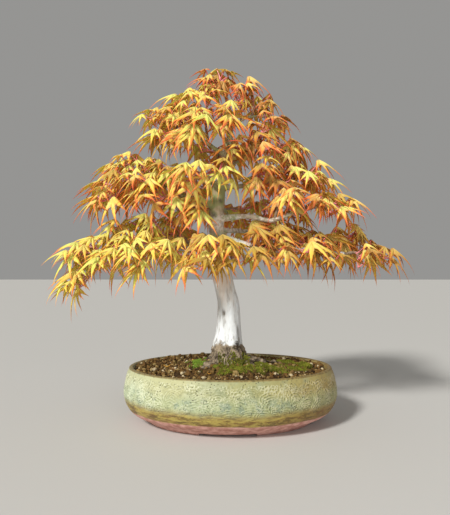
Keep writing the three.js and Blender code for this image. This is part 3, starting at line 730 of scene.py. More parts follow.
def tube(path, radii, sides):
    """Points, side quads and end caps of a closed tube, and each point's share of the path."""
    path = np.asarray(path, float)
    ahead = np.gradient(path, axis=0)
    ahead /= np.linalg.norm(ahead, axis=1, keepdims=True)
    rings = []
    side = np.array([1.0, 0, 0]) if abs(ahead[0][2]) > 0.7 else np.array([0, 0, 1.0])
    angle = np.arange(sides) * 2 * math.pi / sides
    for point, way, radius in zip(path, ahead, radii):
        side = side - way * side.dot(way)
        side /= np.linalg.norm(side)
        other = np.cross(way, side)
        ring = np.cos(angle)[:, None] * side + np.sin(angle)[:, None] * other
        rings.append(point + ring * radius)
    quads, caps = ring_faces(len(path), sides)
    share = np.repeat(np.linspace(0, 1, len(path)), sides)
    return np.concatenate(rings), quads, caps, share


def grid_places(u, v):
    """UV of the quads between rings at v and sides at u, corner by corner."""
    u0, v0 = np.meshgrid(u[:-1], v[:-1])
    u1, v1 = np.meshgrid(u[1:], v[1:])
    return np.stack([u0, v0, u1, v0, u1, v1, u0, v1], 2).reshape(-1, 2)


def tube_places(rings, sides, corner, size):
    """UV of a tube's side quads and caps, in a strip at corner."""
    u = np.arange(sides + 1) / sides
    quads = grid_places(u, np.linspace(0.02, 0.98, rings))
    ends = np.array([(u[k], edge) for edge in (0.0, 1.0) for k in range(sides)])
    return quads * size + corner, ends * size + corner


# Leaf blade: one template, in shares of the middle lobe's length along forward, side, normal.
# Its lobes are finer than the part's, with long thin tips and toothed margins.

LOBE_ROWS = [6, 10, 10, 10, 6]
LOBE_ARCH = 0.075
EDGE_SAG = 0.42
BLADE_THICKNESS = 0.0032
RIB_THICKNESS = 0.007
TIP_TAPER = 1.4
TIP_SLIM = 0.9
TIP_REACH = 1.13
FINE_SINUS = 0.27
FINE_OUTER_SINUS = 0.23
SINUS_SAG = 0.015
OUTER_HALF_WIDTH = 0.07
OUTER_WIDEST = 0.38
# Between and on the teeth: share of the lobe's width, and how far it moves to the tip
TEETH = [(0.9, -0.006), (1.12, 0.012)]
TOOTH_FADE = 2.5
RIB_TAPER = 0.6


def lobe_width(t, start, base):
    """Half width of a lobe at the share t of its length, from its sinus to a long thin tip."""
    peak = max(start, OUTER_WIDEST)
    widest = max(base, OUTER_HALF_WIDTH)
    if t < peak:
        x = max((t - start) / (peak - start), 0)
        return base + (widest - base) * math.sin(math.pi / 2 * x)
    left = (1 - t) / (1 - peak)
    return widest * (TIP_SLIM * left ** TIP_TAPER + (1 - TIP_SLIM) * left)


def lobe_axes(angle, droop):
    """A lobe's way out, across and up, and its way out before it droops."""
    a, d = math.radians(angle), math.radians(droop)
    out = np.array([math.cos(a), math.sin(a), 0])
    across = np.array([-math.sin(a), math.cos(a), 0])
    way = out * math.cos(d) + np.array([0, 0, -math.sin(d)])
    return way, across, np.cross(way, across), out


class Blade:
    """Points of the template, with their look values (edge, row) and flat places."""

    def __init__(self):
        self.points = []
        self.values = []
        self.flat = []

    def put(self, point, edge, row, place):
        self.points.append(point)
        self.values.append((edge, row))
        self.flat.append(place[:2])
        return len(self.points) - 1

    def sinuses(self):
        """The points between lobes, from the notch at the petiole round the blade."""
        gaps = []
        for g, (angle, _, droop) in enumerate(LOBES):
            if g == 0:
                angle, droop, depth = 180, NOTCH_DROOP, NOTCH_DEPTH
            else:
                angle = (LOBES[g - 1][0] + angle) / 2
                droop = (LOBES[g - 1][2] + droop) / 2
                depth = FINE_OUTER_SINUS if g in (1, 4) else FINE_SINUS
            way, _, up, out = lobe_axes(angle, droop)
            sinus = way * depth - up * SINUS_SAG
            gaps.append((self.put(sinus, 1, 0, out * depth), sinus))
        return gaps

    def lobe(self, number, hub, left, right):
        """Rows of three points across a lobe's upper and lower face, and its tip."""
        angle, share, droop = LOBES[number]
        way, across, up, out = lobe_axes(angle, droop)
        share *= TIP_REACH
        upper = [[left[0], hub[0], right[0]]]
        lower = [[left[0], hub[1], right[0]]]

        def centre(t):
            return way * share * t + up * LOBE_ARCH * share * 4 * t * (1 - t)

        for i in range(1, LOBE_ROWS[number]):
            s = i / LOBE_ROWS[number]
            tooth, ahead = TEETH[i % 2]
            ends = []
            for sign, (_, sinus) in ((-1, left), (1, right)):
                start = float(sinus.dot(way)) / share
                base = abs(float(sinus.dot(across)))
                t = start + (1 - start) * s + ahead
                width = lobe_width(t, start, base)
                width *= 1 + (tooth - 1) * min(1, TOOTH_FADE * (1 - s))
                edge = centre(t) + across * sign * width - up * EDGE_SAG * width
                ends.append(self.put(edge, 1, s, out * share * t + across * sign * width))
            middle, flat = centre(s), out * share * s
            above = self.put(middle + up * BLADE_THICKNESS, 0, s, flat)
            below = self.put(middle - up * RIB_THICKNESS * (1 - RIB_TAPER * s), 0, s, flat)
            upper.append([ends[0], above, ends[1]])
            lower.append([ends[0], below, ends[1]])
        return upper, lower, self.put(way * share, 0.6, 1, out * share)


def blade_template():
    """Points, look values and flat places of a leaf, with its top and bottom faces."""
    blade = Blade()
    hub = [blade.put(np.array([0, 0, z]), 0, 0, (0, 0)) for z in (BLADE_THICKNESS, -RIB_THICKNESS)]
    gaps = blade.sinuses()
    top, bottom = [], []
    for k in range(len(LOBES)):
        upper, lower, tip = blade.lobe(k, hub, gaps[k], gaps[(k + 1) % len(LOBES)])
        for rows, faces in ((upper, top), (lower, bottom)):
            for a, b in zip(rows, rows[1:]):
                faces += [(a[c], b[c], b[c + 1], a[c + 1]) for c in range(2)]
            faces += [(rows[-1][c], tip, tip, rows[-1][c + 1]) for c in range(2)]
    quads = [f for f in top if f[1] != f[2]]
    tips = [(f[0], f[1], f[3]) for f in top if f[1] == f[2]]
    under_quads = [f[::-1] for f in bottom if f[1] != f[2]]
    under_tips = [(f[3], f[1], f[0]) for f in bottom if f[1] == f[2]]
    faces = [np.array(x) for x in (quads, tips, under_quads, under_tips)]
    flat = (np.array(blade.flat) * [0.5, 0.45] + [0.3, 0.5]) * 0.96 + 0.02
    return np.array(blade.points), np.array(blade.values), flat, faces


def crease_ribs(mesh):
    """Sharpen the edges that run along the ribs, where the first look value is nought."""
    ends = np.zeros(2 * len(mesh.edges), np.int32)
    mesh.edges.foreach_get("vertices", ends)
    look = np.zeros(4 * len(mesh.vertices), np.float32)
    mesh.color_attributes["look"].data.foreach_get("color", look)
    on_rib = look.reshape(-1, 4)[:, 0] < 0.001
    sharp = np.zeros(len(mesh.edges), bool)
    mesh.edges.foreach_get("use_edge_sharp", sharp)
    sharp |= on_rib[ends.reshape(-1, 2)].all(1)
    mesh.edges.foreach_set("use_edge_sharp", sharp)


class Cells:
    """Square places on a piece's UV map, one after another."""

    def __init__(self, wanted):
        self.across = math.ceil(math.sqrt(wanted))
        self.used = 0

    def next(self):
        column, row = self.used % self.across, self.used // self.across
        self.used += 1
        return np.array([column, row]) / self.across, 1 / self.across


PETIOLE_STEPS = 5
PETIOLE_SIDES = 5
PETIOLES_IN_CELL = 8
TWIG_STEPS = 14
TWIG_SIDES = 8
TWIG_STRAY = 0.22
TWIG_END_RADIUS = 0.85
MAIN_TWIG_RADIUS = 1.9
SIDE_TWIG_RADIUS = 1.45
BUD_SWELL = 0.16
BLADE_WAVE = 0.012
BLADE_CURLS = (-0.02, 0.05)
BLADE_SWEEPS = (-0.05, 0.05)
BLUSH_SPREAD = 0.19
BLADE_SLOT, SHOOT_SLOT = 0, 1


def add_blade(shape, leaf, template, cells, tone, blush, rng):
    """One leaf of the template, waved, curled and swept a little in its own way."""
    points, values, flat, faces = template
    axes = np.array([leaf["forward"], leaf["side"], leaf["normal"]])
    local = points.copy()
    reach = np.linalg.norm(local[:, :2], axis=1)
    wave = rng.uniform(0, 2 * math.pi, 3)
    x, y = local[:, 0], local[:, 1]
    local[:, 2] += BLADE_WAVE * np.sin(x * 9 + wave[0]) * np.sin(y * 8 + wave[1]) * reach
    local[:, 2] -= rng.uniform(*BLADE_CURLS) * reach ** 3
    local[:, 1] += rng.uniform(*BLADE_SWEEPS) * x ** 2
    world = np.array(leaf["hub"]) + local @ axes * leaf["length"]
    marks = np.column_stack([values, np.full(len(values), tone), np.full(len(values), blush)])
    places = []
    for half in (faces[:2], faces[2:]):
        corner, size = cells.next()
        places += [flat[block.ravel()] * size + corner for block in half]
    shape.add(world, faces, BLADE_SLOT, marks, places)


def add_petiole(shape, leaf, strip, tone, rng):
    """The leaf's stalk, bowed, and thicker at both ends."""
    node, hub, normal = (np.array(leaf[key]) for key in ("node", "hub", "normal"))
    t = np.linspace(0, 1, PETIOLE_STEPS + 1)[:, None]
    bow = rng.normal(0, 0.5, 3) - np.array([0, 0, 0.9])
    path = node * (1 - t) + (hub - normal * 0.25) * t + bow * 4 * t * (1 - t)
    radii = 0.6 + 0.4 * (1 - t[:, 0]) ** 5 + 0.2 * t[:, 0] ** 6
    points, quads, caps, share = tube(path, radii, PETIOLE_SIDES)
    none, same = np.zeros(len(share)), np.ones(len(share))
    shape.add(points, [quads, caps], SHOOT_SLOT, np.column_stack([share, none, same * tone, same]),
              tube_places(PETIOLE_STEPS + 1, PETIOLE_SIDES, *strip))


def twig_path(spray, number):
    """From the branch, or for a side twig from near the fork, to the twig's end."""
    root, fork, end = spray["root"], spray["fork"], spray["ends"][number]
    if number == 0:
        bends = [root, mix(root, fork, 0.55), mix(root, fork, 0.9), mix(fork, end, 0.12),
                 mix(fork, end, 0.5), end]
    else:
        start = mix(fork, spray["ends"][0], SIDE_TWIG_START)
        bends = [start, mix(start, end, 0.35), mix(start, end, 0.7), end]
    return curve(bends, TWIG_STEPS)


def add_twig(shape, spray, number, corner, size, rng):
    """A twig that thins to its end, swollen at its buds, brown at first and red further out."""
    path = twig_path(spray, number)
    path[1:-1] += rng.normal(0, TWIG_STRAY, (TWIG_STEPS - 1, 3))
    first = SIDE_TWIG_RADIUS if number else MAIN_TWIG_RADIUS
    radii = first + (TWIG_END_RADIUS - first) * np.linspace(0, 1, TWIG_STEPS + 1) ** 0.8
    radii *= 1 + BUD_SWELL * (np.arange(TWIG_STEPS + 1) % 4 == 3)
    points, quads, caps, share = tube(path, radii, TWIG_SIDES)
    red = np.clip(share * (1.0 if number else 1.2) - 0.35, 0, 1)
    same = np.ones(len(share))
    shape.add(points, [quads, caps], SHOOT_SLOT, np.column_stack([share, same * 0, same * 0.5, red]),
              tube_places(TWIG_STEPS + 1, TWIG_SIDES, corner, size))


def make_spray(spray, template, materials, rng):
    """Twigs, petioles and blades of one spray, in place of its plain solid."""
    shape = Shape()
    leaves = spray["leaves"]
    cells = Cells(2 * len(leaves) + math.ceil(len(leaves) / PETIOLES_IN_CELL) + len(spray["ends"]))
    for number in range(len(spray["ends"])):
        add_twig(shape, spray, number, *cells.next(), rng)
    for i, leaf in enumerate(leaves):
        place = i % PETIOLES_IN_CELL
        if place == 0:
            corner, size = cells.next()
        strip = (corner + np.array([place / PETIOLES_IN_CELL * size, 0]), np.array([size / 8.5, size]))
        # painted shade: the leaves of the shaded branches get a lower tone, which their materials paint
        # darker
        tone = max(rng.uniform(0, 1) - spray["painted_shade"], 0)
        blush = float(np.clip(spray["blush"] + rng.normal(0, BLUSH_SPREAD), 0, 1))
        add_blade(shape, leaf, template, cells, tone, blush, rng)
        add_petiole(shape, leaf, strip, tone, rng)
    piece = shape.piece(spray["name"].replace("spray", "leaves"), materials, sharp=75)
    crease_ribs(piece.data)
    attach(piece, "root")
    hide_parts(spray["name"])


# Bark: trunk, branches and surface roots as one grown body

BARK_VOXEL = 1.15
BARK_SMOOTHING = 4
BRANCH_SLIM = 0.86
STEM_STEPS = 90
BOUGH_STEPS = 40
ROOT_STEPS = 30
STEM_SIDES = 40
BOUGH_SIDES = 14
THIN_ROOT_SIDES = 10
ROOT_RISE = 7.0
ROOT_DIP = 1.0
# The thin root that loops over the soil: x, y, height above the soil
THIN_ROOT = [
    (18, -8, 5), (30, -8, 4), (44, -2, 4.5), (57, 8, 3.6), (62, 22, 1.5), (52, 34, 0), (30, 36, -2),
]
THIN_ROOT_RADII = (2.4, 1.2)
# Where the rough root crown ends, and how far below and above that it fades
ROUGH_BARK_TOP = 99.0
ROUGH_BARK_FADE = (14, 4)
FURROW_HEIGHT = 0.55
FINE_GRAIN_HEIGHT = 0.12
CRUMB_HEIGHT = 1.7
# Scars of old branches: x, y, z, radius, height (a hollow is below zero)
SCARS = [
    (-8.5, -13.0, 130, 2.6, -1.6),
    (-14, -11.5, 222, 4.2, 2.0),
    (-20, -10, 250, 4.8, 2.4),
    (-9, -9.5, 240, 3.6, 1.8),
    (-12, -9, 268, 4.6, 2.2),
    (-14, -7, 284, 4.0, 2.0),
    (-4, -5, 309, 3.4, 1.5),
]


def soil_height(x, y):
    """Height of the soil's plain top, as in the part."""
    reach = np.hypot(x / POT_HALF_LENGTH, y / POT_HALF_DEPTH) / SOIL_RISE_REACH
    rise = SOIL_RISE * (1 - smoothstep(reach, 0, 1))
    wave = SOIL_WAVE * np.sin(x * 0.11 + 1) * np.sin(y * 0.13 + 2)
    dip = SOIL_DIP * smoothstep(x / POT_HALF_LENGTH + y / POT_HALF_DEPTH, 0.6, 1.3)
    return SOIL_EDGE_HEIGHT + rise + wave - dip


def wood_tubes():
    """Trunk, branches and roots as overlapping tubes: path, radii and sides of each."""
    stem = curve(TRUNK, STEM_STEPS)
    tubes = [(stem[:, :3], stem[:, 3], STEM_SIDES)]
    for _, radii, _, bends, _ in BRANCHES:
        share = np.linspace(0, 1, BOUGH_STEPS + 1)
        thick = BRANCH_SLIM * (radii[0] + (radii[1] - radii[0]) * share)
        thick = thick * (1 + 0.5 * np.exp(-share * 14)) * (1 + 0.07 * np.sin(share * 31 + radii[0] * 9))
        tubes.append((curve(bends, BOUGH_STEPS), thick, BOUGH_SIDES))
    for radii, way in ROOTS:
        path = curve([(*p, 0.0) for p in way], ROOT_STEPS)
        share = np.linspace(0, 1, ROOT_STEPS + 1)
        thick = radii[0] + (radii[1] - radii[0]) * share ** 0.8
        sink = thick * (ROOT_SINK + ROOT_DIP * smoothstep(share, 0.3, 0.6))
        path[:, 2] = soil_height(path[:, 0], path[:, 1]) - sink + ROOT_RISE * (1 - share) ** 2.5
        tubes.append((path, thick * (1 + 0.1 * np.sin(share * 17)), BOUGH_SIDES))
    bow = curve(THIN_ROOT, ROOT_STEPS)
    bow[:, 2] += soil_height(bow[:, 0], bow[:, 1])
    tubes.append((bow, np.linspace(*THIN_ROOT_RADII, ROOT_STEPS + 1), THIN_ROOT_SIDES))
    return tubes


def wood_form():
    """The tubes grown together, with buttresses at the foot of the trunk."""
    shape = Shape()
    for number, (path, radii, sides) in enumerate(wood_tubes()):
        points, quads, caps, _ = tube(path, radii, sides)
        if number == 0:
            axis = np.repeat(path, sides, axis=0)
            away = points - axis
            angle = np.arctan2(away[:, 1], away[:, 0])
            flare = 0.1 * (1 - smoothstep(points[:, 2], 60, 120))
            ripple = 1 + flare * np.sin(5 * angle + 0.8) + 0.035 * np.sin(3 * angle + points[:, 2] * 0.05)
            points = axis + away * ripple[:, None]
        shape.add(points, [quads, caps])
    rough = shape.piece("trunk_form", [])
    remesh = rough.modifiers.new("Remesh", "REMESH")
    remesh.mode = "VOXEL"
    remesh.voxel_size = BARK_VOXEL * MM
    smooth = rough.modifiers.new("Smooth", "SMOOTH")
    smooth.iterations = BARK_SMOOTHING
    smooth.factor = 0.5
    mesh = applied(rough)
    bpy.data.objects.remove(rough)
    return mesh


def nearness_to_trunk(place):
    """1 on the trunk, 0 out on branches and roots."""
    stem = curve(TRUNK, 60)
    x, y, z = place.T
    from_axis = np.hypot(x - np.interp(z, stem[:, 2], stem[:, 0]), y - np.interp(z, stem[:, 2], stem[:, 1]))
    return 1 - smoothstep(from_axis / np.interp(z, stem[:, 2], stem[:, 3]), 1.1, 1.6)


def bark_lift(place):
    """How far furrows and fine grain lift each point, and crumbs on the root crown."""
    on_trunk = nearness_to_trunk(place)
    below, above = ROUGH_BARK_FADE
    crumbly = 1 - smoothstep(place[:, 2], ROUGH_BARK_TOP - below, ROUGH_BARK_TOP + above)
    lift = np.zeros(len(place))
    for i, (x, y, z) in enumerate(place):
        furrow = noise.fractal(Vector((x * 0.11, y * 0.11, z * 0.022)), 0.9, 2.1, 3)
        grain = noise.fractal(Vector((x * 0.35, y * 0.35, z * 0.35)), 0.8, 2.1, 2)
        lift[i] = (FURROW_HEIGHT * furrow + FINE_GRAIN_HEIGHT * grain) * (0.25 + 0.75 * on_trunk[i])
        if crumbly[i] > 0:
            crumb = noise.fractal(Vector((x * 0.22, y * 0.22, z * 0.12)), 0.6, 2.2, 4)
            lift[i] += crumbly[i] * CRUMB_HEIGHT * crumb
    return lift


def add_scars(place, lift):
    """Raise the rings of the scars and sink their middles; how hollow each point then is."""
    hollow = np.zeros(len(place))
    for x, y, z, radius, rise in SCARS:
        far = np.linalg.norm((place - [x, y, z]) * [1, 1, 0.6 if rise < 0 else 1], axis=1) / radius
        lift += rise * np.exp(-far ** 2)
        if rise > 0:
            lift -= 0.7 * rise * np.exp(-(far / 0.4) ** 2)
        hollow = np.maximum(hollow, np.exp(-(far / (0.7 if rise > 0 else 1.0)) ** 2))
    return hollow


def make_wood(materials):
    """Bark in place of the plain trunk."""
    mesh = wood_form()
    place = read_points(mesh)
    normal = point_rows(mesh, "normal")
    lift = bark_lift(place)
    hollow = add_scars(place, lift)
    set_points(mesh, place + normal * lift[:, None])
    none = np.zeros(len(place))
    set_look(mesh, np.column_stack([hollow, np.clip(lift * 0.4 + 0.5, 0, 1), none, none]))
    mesh.polygons.foreach_set("use_smooth", np.ones(len(mesh.polygons), bool))
    for material in materials:
        mesh.materials.append(material)
    mesh.update()
    piece = link_object("trunk_bark", mesh)
    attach(piece, "root")
    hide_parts("trunk")
    return piece


# Pot

POT_AROUND = 820
WALL_ROWS = 78
INSIDE_ROWS = 12
PROFILE_STEPS = 400
RIM_STEPS = 11
RIM_SWELL = 1.6
RIM_INSIDE_FROM = 63.0
INSIDE_TOP = 62.5
RECESS_SIDES = 96
DRAIN_SIDES = 32
# Relief: where the rows are closer and how much, and heights and widths of what stands out
RELIEF_FROM = 23.0
RELIEF_DENSITY = 2.4
RELIEF_SEED = 5
RELIEF_HEIGHT = 0.95
CRACK_HEIGHT = 0.4
CRACK_WIDTH = 0.07
CRACK_DARKNESS = 0.45
LUMP_HEIGHT = 0.28
LUMPS_FROM = 9.0
# Arcs: heights of their rows, distance along a row, radii of the lines, and how they vary
ARC_ROWS = [29, 36, 43, 50, 57, 62]
ARC_PITCH = 14.0
ARC_RADII = (2.6, 5.2, 7.8, 10.2)
ARC_WIDTH = 0.62
ARC_WARP = 1.9
ARC_SHIFT = 0.3
ARC_STRAY = 2.2
ARC_TILT = 0.75
ARC_UPSIDE_DOWN = 0.12
ARC_SPANS = (0.8, 1.7)
ARC_SIZES = (0.8, 1.25)
GROOVE_FROM_LINE = 1.0
GROOVE_WIDTH = 0.45
GROOVE_DEPTH = 0.45
NO_ARC = 9.0


def curve_rows(profile, rows, dense_from=math.inf, density=1.0):
    """Heights and insets at steps along a smooth profile, closer above a height."""
    fine = curve(profile, PROFILE_STEPS)
    steps = np.hypot(*np.diff(fine, axis=0).T) * np.where(fine[1:, 0] > dense_from, density, 1)
    run = np.concatenate([[0], np.cumsum(steps)])
    even = np.linspace(0, run[-1], rows)
    return np.column_stack([np.interp(even, run, fine[:, 0]), np.interp(even, run, fine[:, 1])])


def arc_relief(across, up, width, rng):
    """Nearness to the lines of stamped arcs on a band that closes on itself."""
    field = np.full(across.shape, NO_ARC)
    for n, row in enumerate(ARC_ROWS):
        count = int(width / ARC_PITCH)
        for k in range(count):
            x = (k + 0.5 * (n % 2) + rng.uniform(-ARC_SHIFT, ARC_SHIFT)) * width / count
            z = row + rng.uniform(-ARC_STRAY, ARC_STRAY)
            tilt = rng.uniform(-ARC_TILT, ARC_TILT)
            tilt += math.pi if rng.uniform() < ARC_UPSIDE_DOWN else 0
            span = rng.uniform(*ARC_SPANS)
            size = rng.uniform(*ARC_SIZES)
            dx = (across - x + width / 2) % width - width / 2
            dz = up - z
            reach = np.hypot(dx, dz)
            near = reach < ARC_RADII[-1] * size + 2
            angle = np.arctan2(dx[near], dz[near]) - tilt
            angle = (angle + math.pi) % (2 * math.pi) - math.pi
            over = np.maximum(np.abs(angle) - span, 0) * reach[near]
            for ring in ARC_RADII:
                far = np.hypot(reach[near] - ring * size, over)
                field[near] = np.minimum(field[near], far)
    ridge = np.exp(-(field / ARC_WIDTH) ** 2)
    groove = np.exp(-((field - GROOVE_FROM_LINE) / GROOVE_WIDTH) ** 2)
    return 0.5 + 0.5 * ridge - GROOVE_DEPTH * groove


def pot_profile():
    """Height and inset from the foot up the wall, over the round rim and down to the floor."""
    outside = curve_rows(POT_OUTSIDE, WALL_ROWS, RELIEF_FROM, RELIEF_DENSITY)
    inside = curve_rows(POT_INSIDE[::-1], INSIDE_ROWS)
    height, inset = outside[-1]
    half = (inside[inside[:, 0] < RIM_INSIDE_FROM][0][1] - inset) / 2
    rim = [(height + RIM_SWELL * math.sin(a), inset + half - half * math.cos(a))
           for a in np.linspace(0, math.pi, RIM_STEPS + 1)[1:-1]]
    return np.concatenate([outside, rim, inside[inside[:, 0] < INSIDE_TOP]])


def oval(angle, inset, height):
    """Points round the pot, this far in from its widest oval."""
    return np.column_stack([(POT_HALF_LENGTH - inset) * np.cos(angle),
                            (POT_HALF_DEPTH - inset) * np.sin(angle), np.full(len(angle), height)])


def wall_noise(points):
    """Two drifts of the arcs, where they fade, lumps, and distance to a crack, over the wall."""
    found = np.zeros((5, WALL_ROWS, POT_AROUND))
    for r in range(WALL_ROWS):
        for k in range(POT_AROUND):
            spot = Vector(points[r, k])
            found[0, r, k] = noise.noise(spot * 0.13)
            found[1, r, k] = noise.noise(spot * 0.13 + Vector((50, 0, 0)))
            found[2, r, k] = noise.noise(spot * 0.07 + Vector((0, 50, 0)))
            found[3, r, k] = noise.fractal(spot * 0.13, 0.8, 2.1, 3)
            found[4, r, k] = abs(noise.fractal(spot * 0.24, 0.7, 2.2, 3))
    return found


def wall_relief(points, angle):
    """From 0 in a groove to 1 on a line, and how far it stands out, over the wall."""
    drift_across, drift_up, fading, lumps, crack_distance = wall_noise(points)
    up = points[:WALL_ROWS, :, 2]
    girth = math.pi * (POT_HALF_LENGTH + POT_HALF_DEPTH)
    across = angle / (2 * math.pi) * girth + ARC_WARP * drift_across
    rng = np.random.default_rng(RELIEF_SEED)
    arcs = arc_relief(across, up + ARC_WARP * drift_up, girth, rng)
    fade = smoothstep(up, 24, 31) * (1 - smoothstep(up, 59, 62))
    fade = fade * (0.65 + 0.35 * smoothstep(fading, -0.3, 0.2))
    relief = 0.5 + (arcs - 0.5) * fade
    cracks = np.exp(-(crack_distance / CRACK_WIDTH) ** 2) * fade
    bulge = (relief - 0.5) * RELIEF_HEIGHT + lumps * LUMP_HEIGHT * (up > LUMPS_FROM) - cracks * CRACK_HEIGHT
    return relief - CRACK_DARKNESS * cracks, bulge


def make_pot(materials):
    """The glazed pot with its relief, in place of the plain one."""
    profile = pot_profile()
    rows = len(profile)
    angle = np.arange(POT_AROUND) * 2 * math.pi / POT_AROUND
    points = np.stack([oval(angle, inset, height) for height, inset in profile])
    relief, bulge = wall_relief(points, angle)
    outward = np.stack([np.cos(angle) / POT_HALF_LENGTH, np.sin(angle) / POT_HALF_DEPTH], 1)
    outward /= np.linalg.norm(outward, axis=1, keepdims=True)
    points[:WALL_ROWS, :, :2] += outward[None] * bulge[:, :, None]
    marks = np.zeros((rows, POT_AROUND, 4))
    marks[:, :, 0] = 0.5
    marks[:WALL_ROWS, :, 0] = relief
    places = grid_places(np.arange(POT_AROUND + 1) / POT_AROUND, np.linspace(0, 1, rows))
    shape = Shape()
    shape.add(points.reshape(-1, 3), ring_faces(rows, POT_AROUND), 0, marks.reshape(-1, 4), [places, None])
    pot = shape.piece("glazed_pot", materials, sharp=40)
    cut_foot(pot)
    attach(pot, "root")
    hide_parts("pot")


def block(sx, sy, sz, x, y, z):
    """A box of this size round its middle."""
    corners = np.array([(i, j, k) for k in (-1, 1) for j in (-1, 1) for i in (-1, 1)]) / 2
    faces = [(0, 2, 3, 1), (4, 5, 7, 6), (0, 1, 5, 4), (2, 6, 7, 3), (0, 4, 6, 2), (1, 3, 7, 5)]
    shape = Shape()
    shape.add(corners * [sx, sy, sz] + [x, y, z], [np.array(faces)])
    return shape


def foot_cutters():
    """What the pot loses: recess under the floor, gaps in the foot ring and drain holes."""
    ring = np.arange(RECESS_SIDES) * 2 * math.pi / RECESS_SIDES
    recess = Shape()
    recess.add(np.concatenate([oval(ring, FOOT_INSET + FOOT_WIDTH, z) for z in (-1.0, FOOT_HEIGHT)]),
               ring_faces(2, RECESS_SIDES))
    # the side gaps are cut a little higher, so that no two cut faces fall together
    middle = FOOT_HEIGHT / 2 - 1
    front_gaps = block(FOOT_GAP_FRONT, 3 * POT_HALF_DEPTH, FOOT_HEIGHT + 1, FOOT_GAP_FRONT_X, 0, middle)
    side_gaps = block(3 * POT_HALF_LENGTH, FOOT_GAP_SIDE, FOOT_HEIGHT + 1.02, 0, 0, middle)
    drains = Shape()
    for x in (-DRAIN_OFFSET, DRAIN_OFFSET):
        path = [(x, 0, -1), (x, 0, 4), (x, 0, FLOOR_TOP + 1)]
        points, quads, caps, _ = tube(path, [DRAIN_RADIUS] * 3, DRAIN_SIDES)
        drains.add(points, [quads, caps])
    return {"recess": recess, "front_gaps": front_gaps, "side_gaps": side_gaps, "drains": drains}


def cut_foot(pot):
    """Take the recess, the gaps and the holes out of the pot, one after another."""
    for name, shape in foot_cutters().items():
        tool = shape.piece(name, [])
        cut = pot.modifiers.new(name, "BOOLEAN")
        cut.operation = "DIFFERENCE"
        cut.solver = "EXACT"
        cut.object = tool
        mesh = applied(pot)
        pot.modifiers.clear()
        old = pot.data
        pot.data = mesh
        bpy.data.meshes.remove(old)
        bpy.data.objects.remove(tool)


# Soil grains and moss

GRAIN_SEED = 17
GRAINS = 1950
SMALL_GRAINS = 1400
RIM_GRAINS = 700
RIM_GRAIN_BAND = 13.0
RIM_GRAIN_ARC = (-0.15, math.pi + 0.4)
GRAIN_TRIES = 40000
GRAIN_INSET = 12.0
GRAIN_SIZES = (1.4, 2.5)
SMALL_GRAIN_SHARE = 0.55
BIG_GRAIN_SHARE = 1.35
BIG_GRAIN_CHANCE = 0.06
WALL_INSET = 12.2
TRUNK_FOOT_RADIUS = 25.0
ROOT_CHECKS = 12
ROOT_SHOWN = 6
HEAP_HEIGHT = 6.4
# Things that lie loose on the soil: x, y, size, stretch, tone, 1 for a bit of a fallen leaf
LOOSE_BITS = [
    (6.4, -52, 3.4, (1.15, 0.9, 0.8), 0.86, 0), (-79, 4, 3.2, (1.3, 0.6, 0.16), 0.1, 1),
    (-66, -22, 2.6, (1.4, 0.4, 0.16), 0.9, 1), (48, -46, 2.8, (1.2, 0.5, 0.16), 0.7, 1),
    (-24, -48, 2.5, (1.3, 0.4, 0.16), 0.4, 1), (84, 10, 2.8, (1.2, 0.6, 0.16), 0.8, 1),
    (-48, 40, 2.8, (1.2, 0.5, 0.16), 0.2, 1), (22, 60, 2.6, (1.3, 0.5, 0.16), 0.6, 1),
    (-92, -14, 2.7, (1, 0.9, 0.8), 0.97, 0), (-30, -60, 2.6, (1.1, 0.9, 0.7), 0.97, 0),
    (70, -44, 2.4, (0.9, 1.1, 0.8), 0.97, 0), (-56, -40, 2.5, (1, 0.8, 0.9), 0.97, 0),
]

# Moss: patches as x, y and how far they reach along both
MOSS = [
    (-38, -12, 15, 13), (-46, 12, 12, 12), (0, -40, 20, 12), (10, -34, 16, 9), (-12, -34, 10, 8),
    (30, -34, 15, 10), (52, -22, 22, 12), (78, -8, 20, 12), (40, -14, 14, 8), (92, 16, 12, 12),
    (-22, 26, 16, 12), (36, 44, 24, 16), (70, 40, 16, 14),
]
MOSS_SEED = 23
MOSS_TUFTS = 9500
MOSS_TRIES = 200000
MOSS_INSET = 18.0
MOSS_HUMP = 2.4
BARK_TUFTS = 1500
BARK_MOSS_TOP = 85.0
BARK_HUMP = 0.5
# A tuft: three corners below, three at its knee and its tip, with their heights and UV places
TUFT_CORNERS = (0, 2.094, 4.189)
TUFT_HEIGHTS = (0.0, 0.0, 0.0, 0.5, 0.5, 0.5, 1.0)
TUFT_FACES = np.array([
    (0, 1, 4), (0, 4, 3), (3, 4, 6), (1, 2, 5), (1, 5, 4), (4, 5, 6), (2, 0, 3), (2, 3, 5), (5, 3, 6),
    (2, 1, 0),
])
TUFT_PLACES = np.array([(0.1, 0.0), (0.5, 0.0), (0.9, 0.0), (0.1, 0.5), (0.5, 0.5), (0.9, 0.5), (0.5, 1.0)])


def ball(level):
    """Points and triangles of a round grain."""
    made = bmesh.new()
    bmesh.ops.create_icosphere(made, subdivisions=level, radius=1)
    points = np.array([v.co for v in made.verts])
    faces = np.array([[v.index for v in f.verts] for f in made.faces])
    made.free()
    return points, faces


def heap(x, y):
    """How much higher the grains lie at the back, most at the left, where they reach the rim."""
    reach = math.hypot(x / POT_HALF_LENGTH, y / POT_HALF_DEPTH)
    back = smoothstep(y / POT_HALF_DEPTH, -0.5 if x < 0 else -0.15, 0.25)
    return float(back * smoothstep(reach, 0.55, 0.86)) * HEAP_HEIGHT


def moss_amount(x, y):
    """0 on bare soil, 1 in the middle of a moss patch."""
    wobble = noise.fractal(Vector((x * 0.09, y * 0.09, 3.0)), 0.8, 2.1, 3) * 0.45
    amount = -0.35
    for px, py, rx, ry in MOSS:
        far = math.hypot((x - px) / rx, (y - py) / ry)
        amount = max(amount, 1 - far)
    return min(max((amount + wobble) * 2.2, 0), 1)


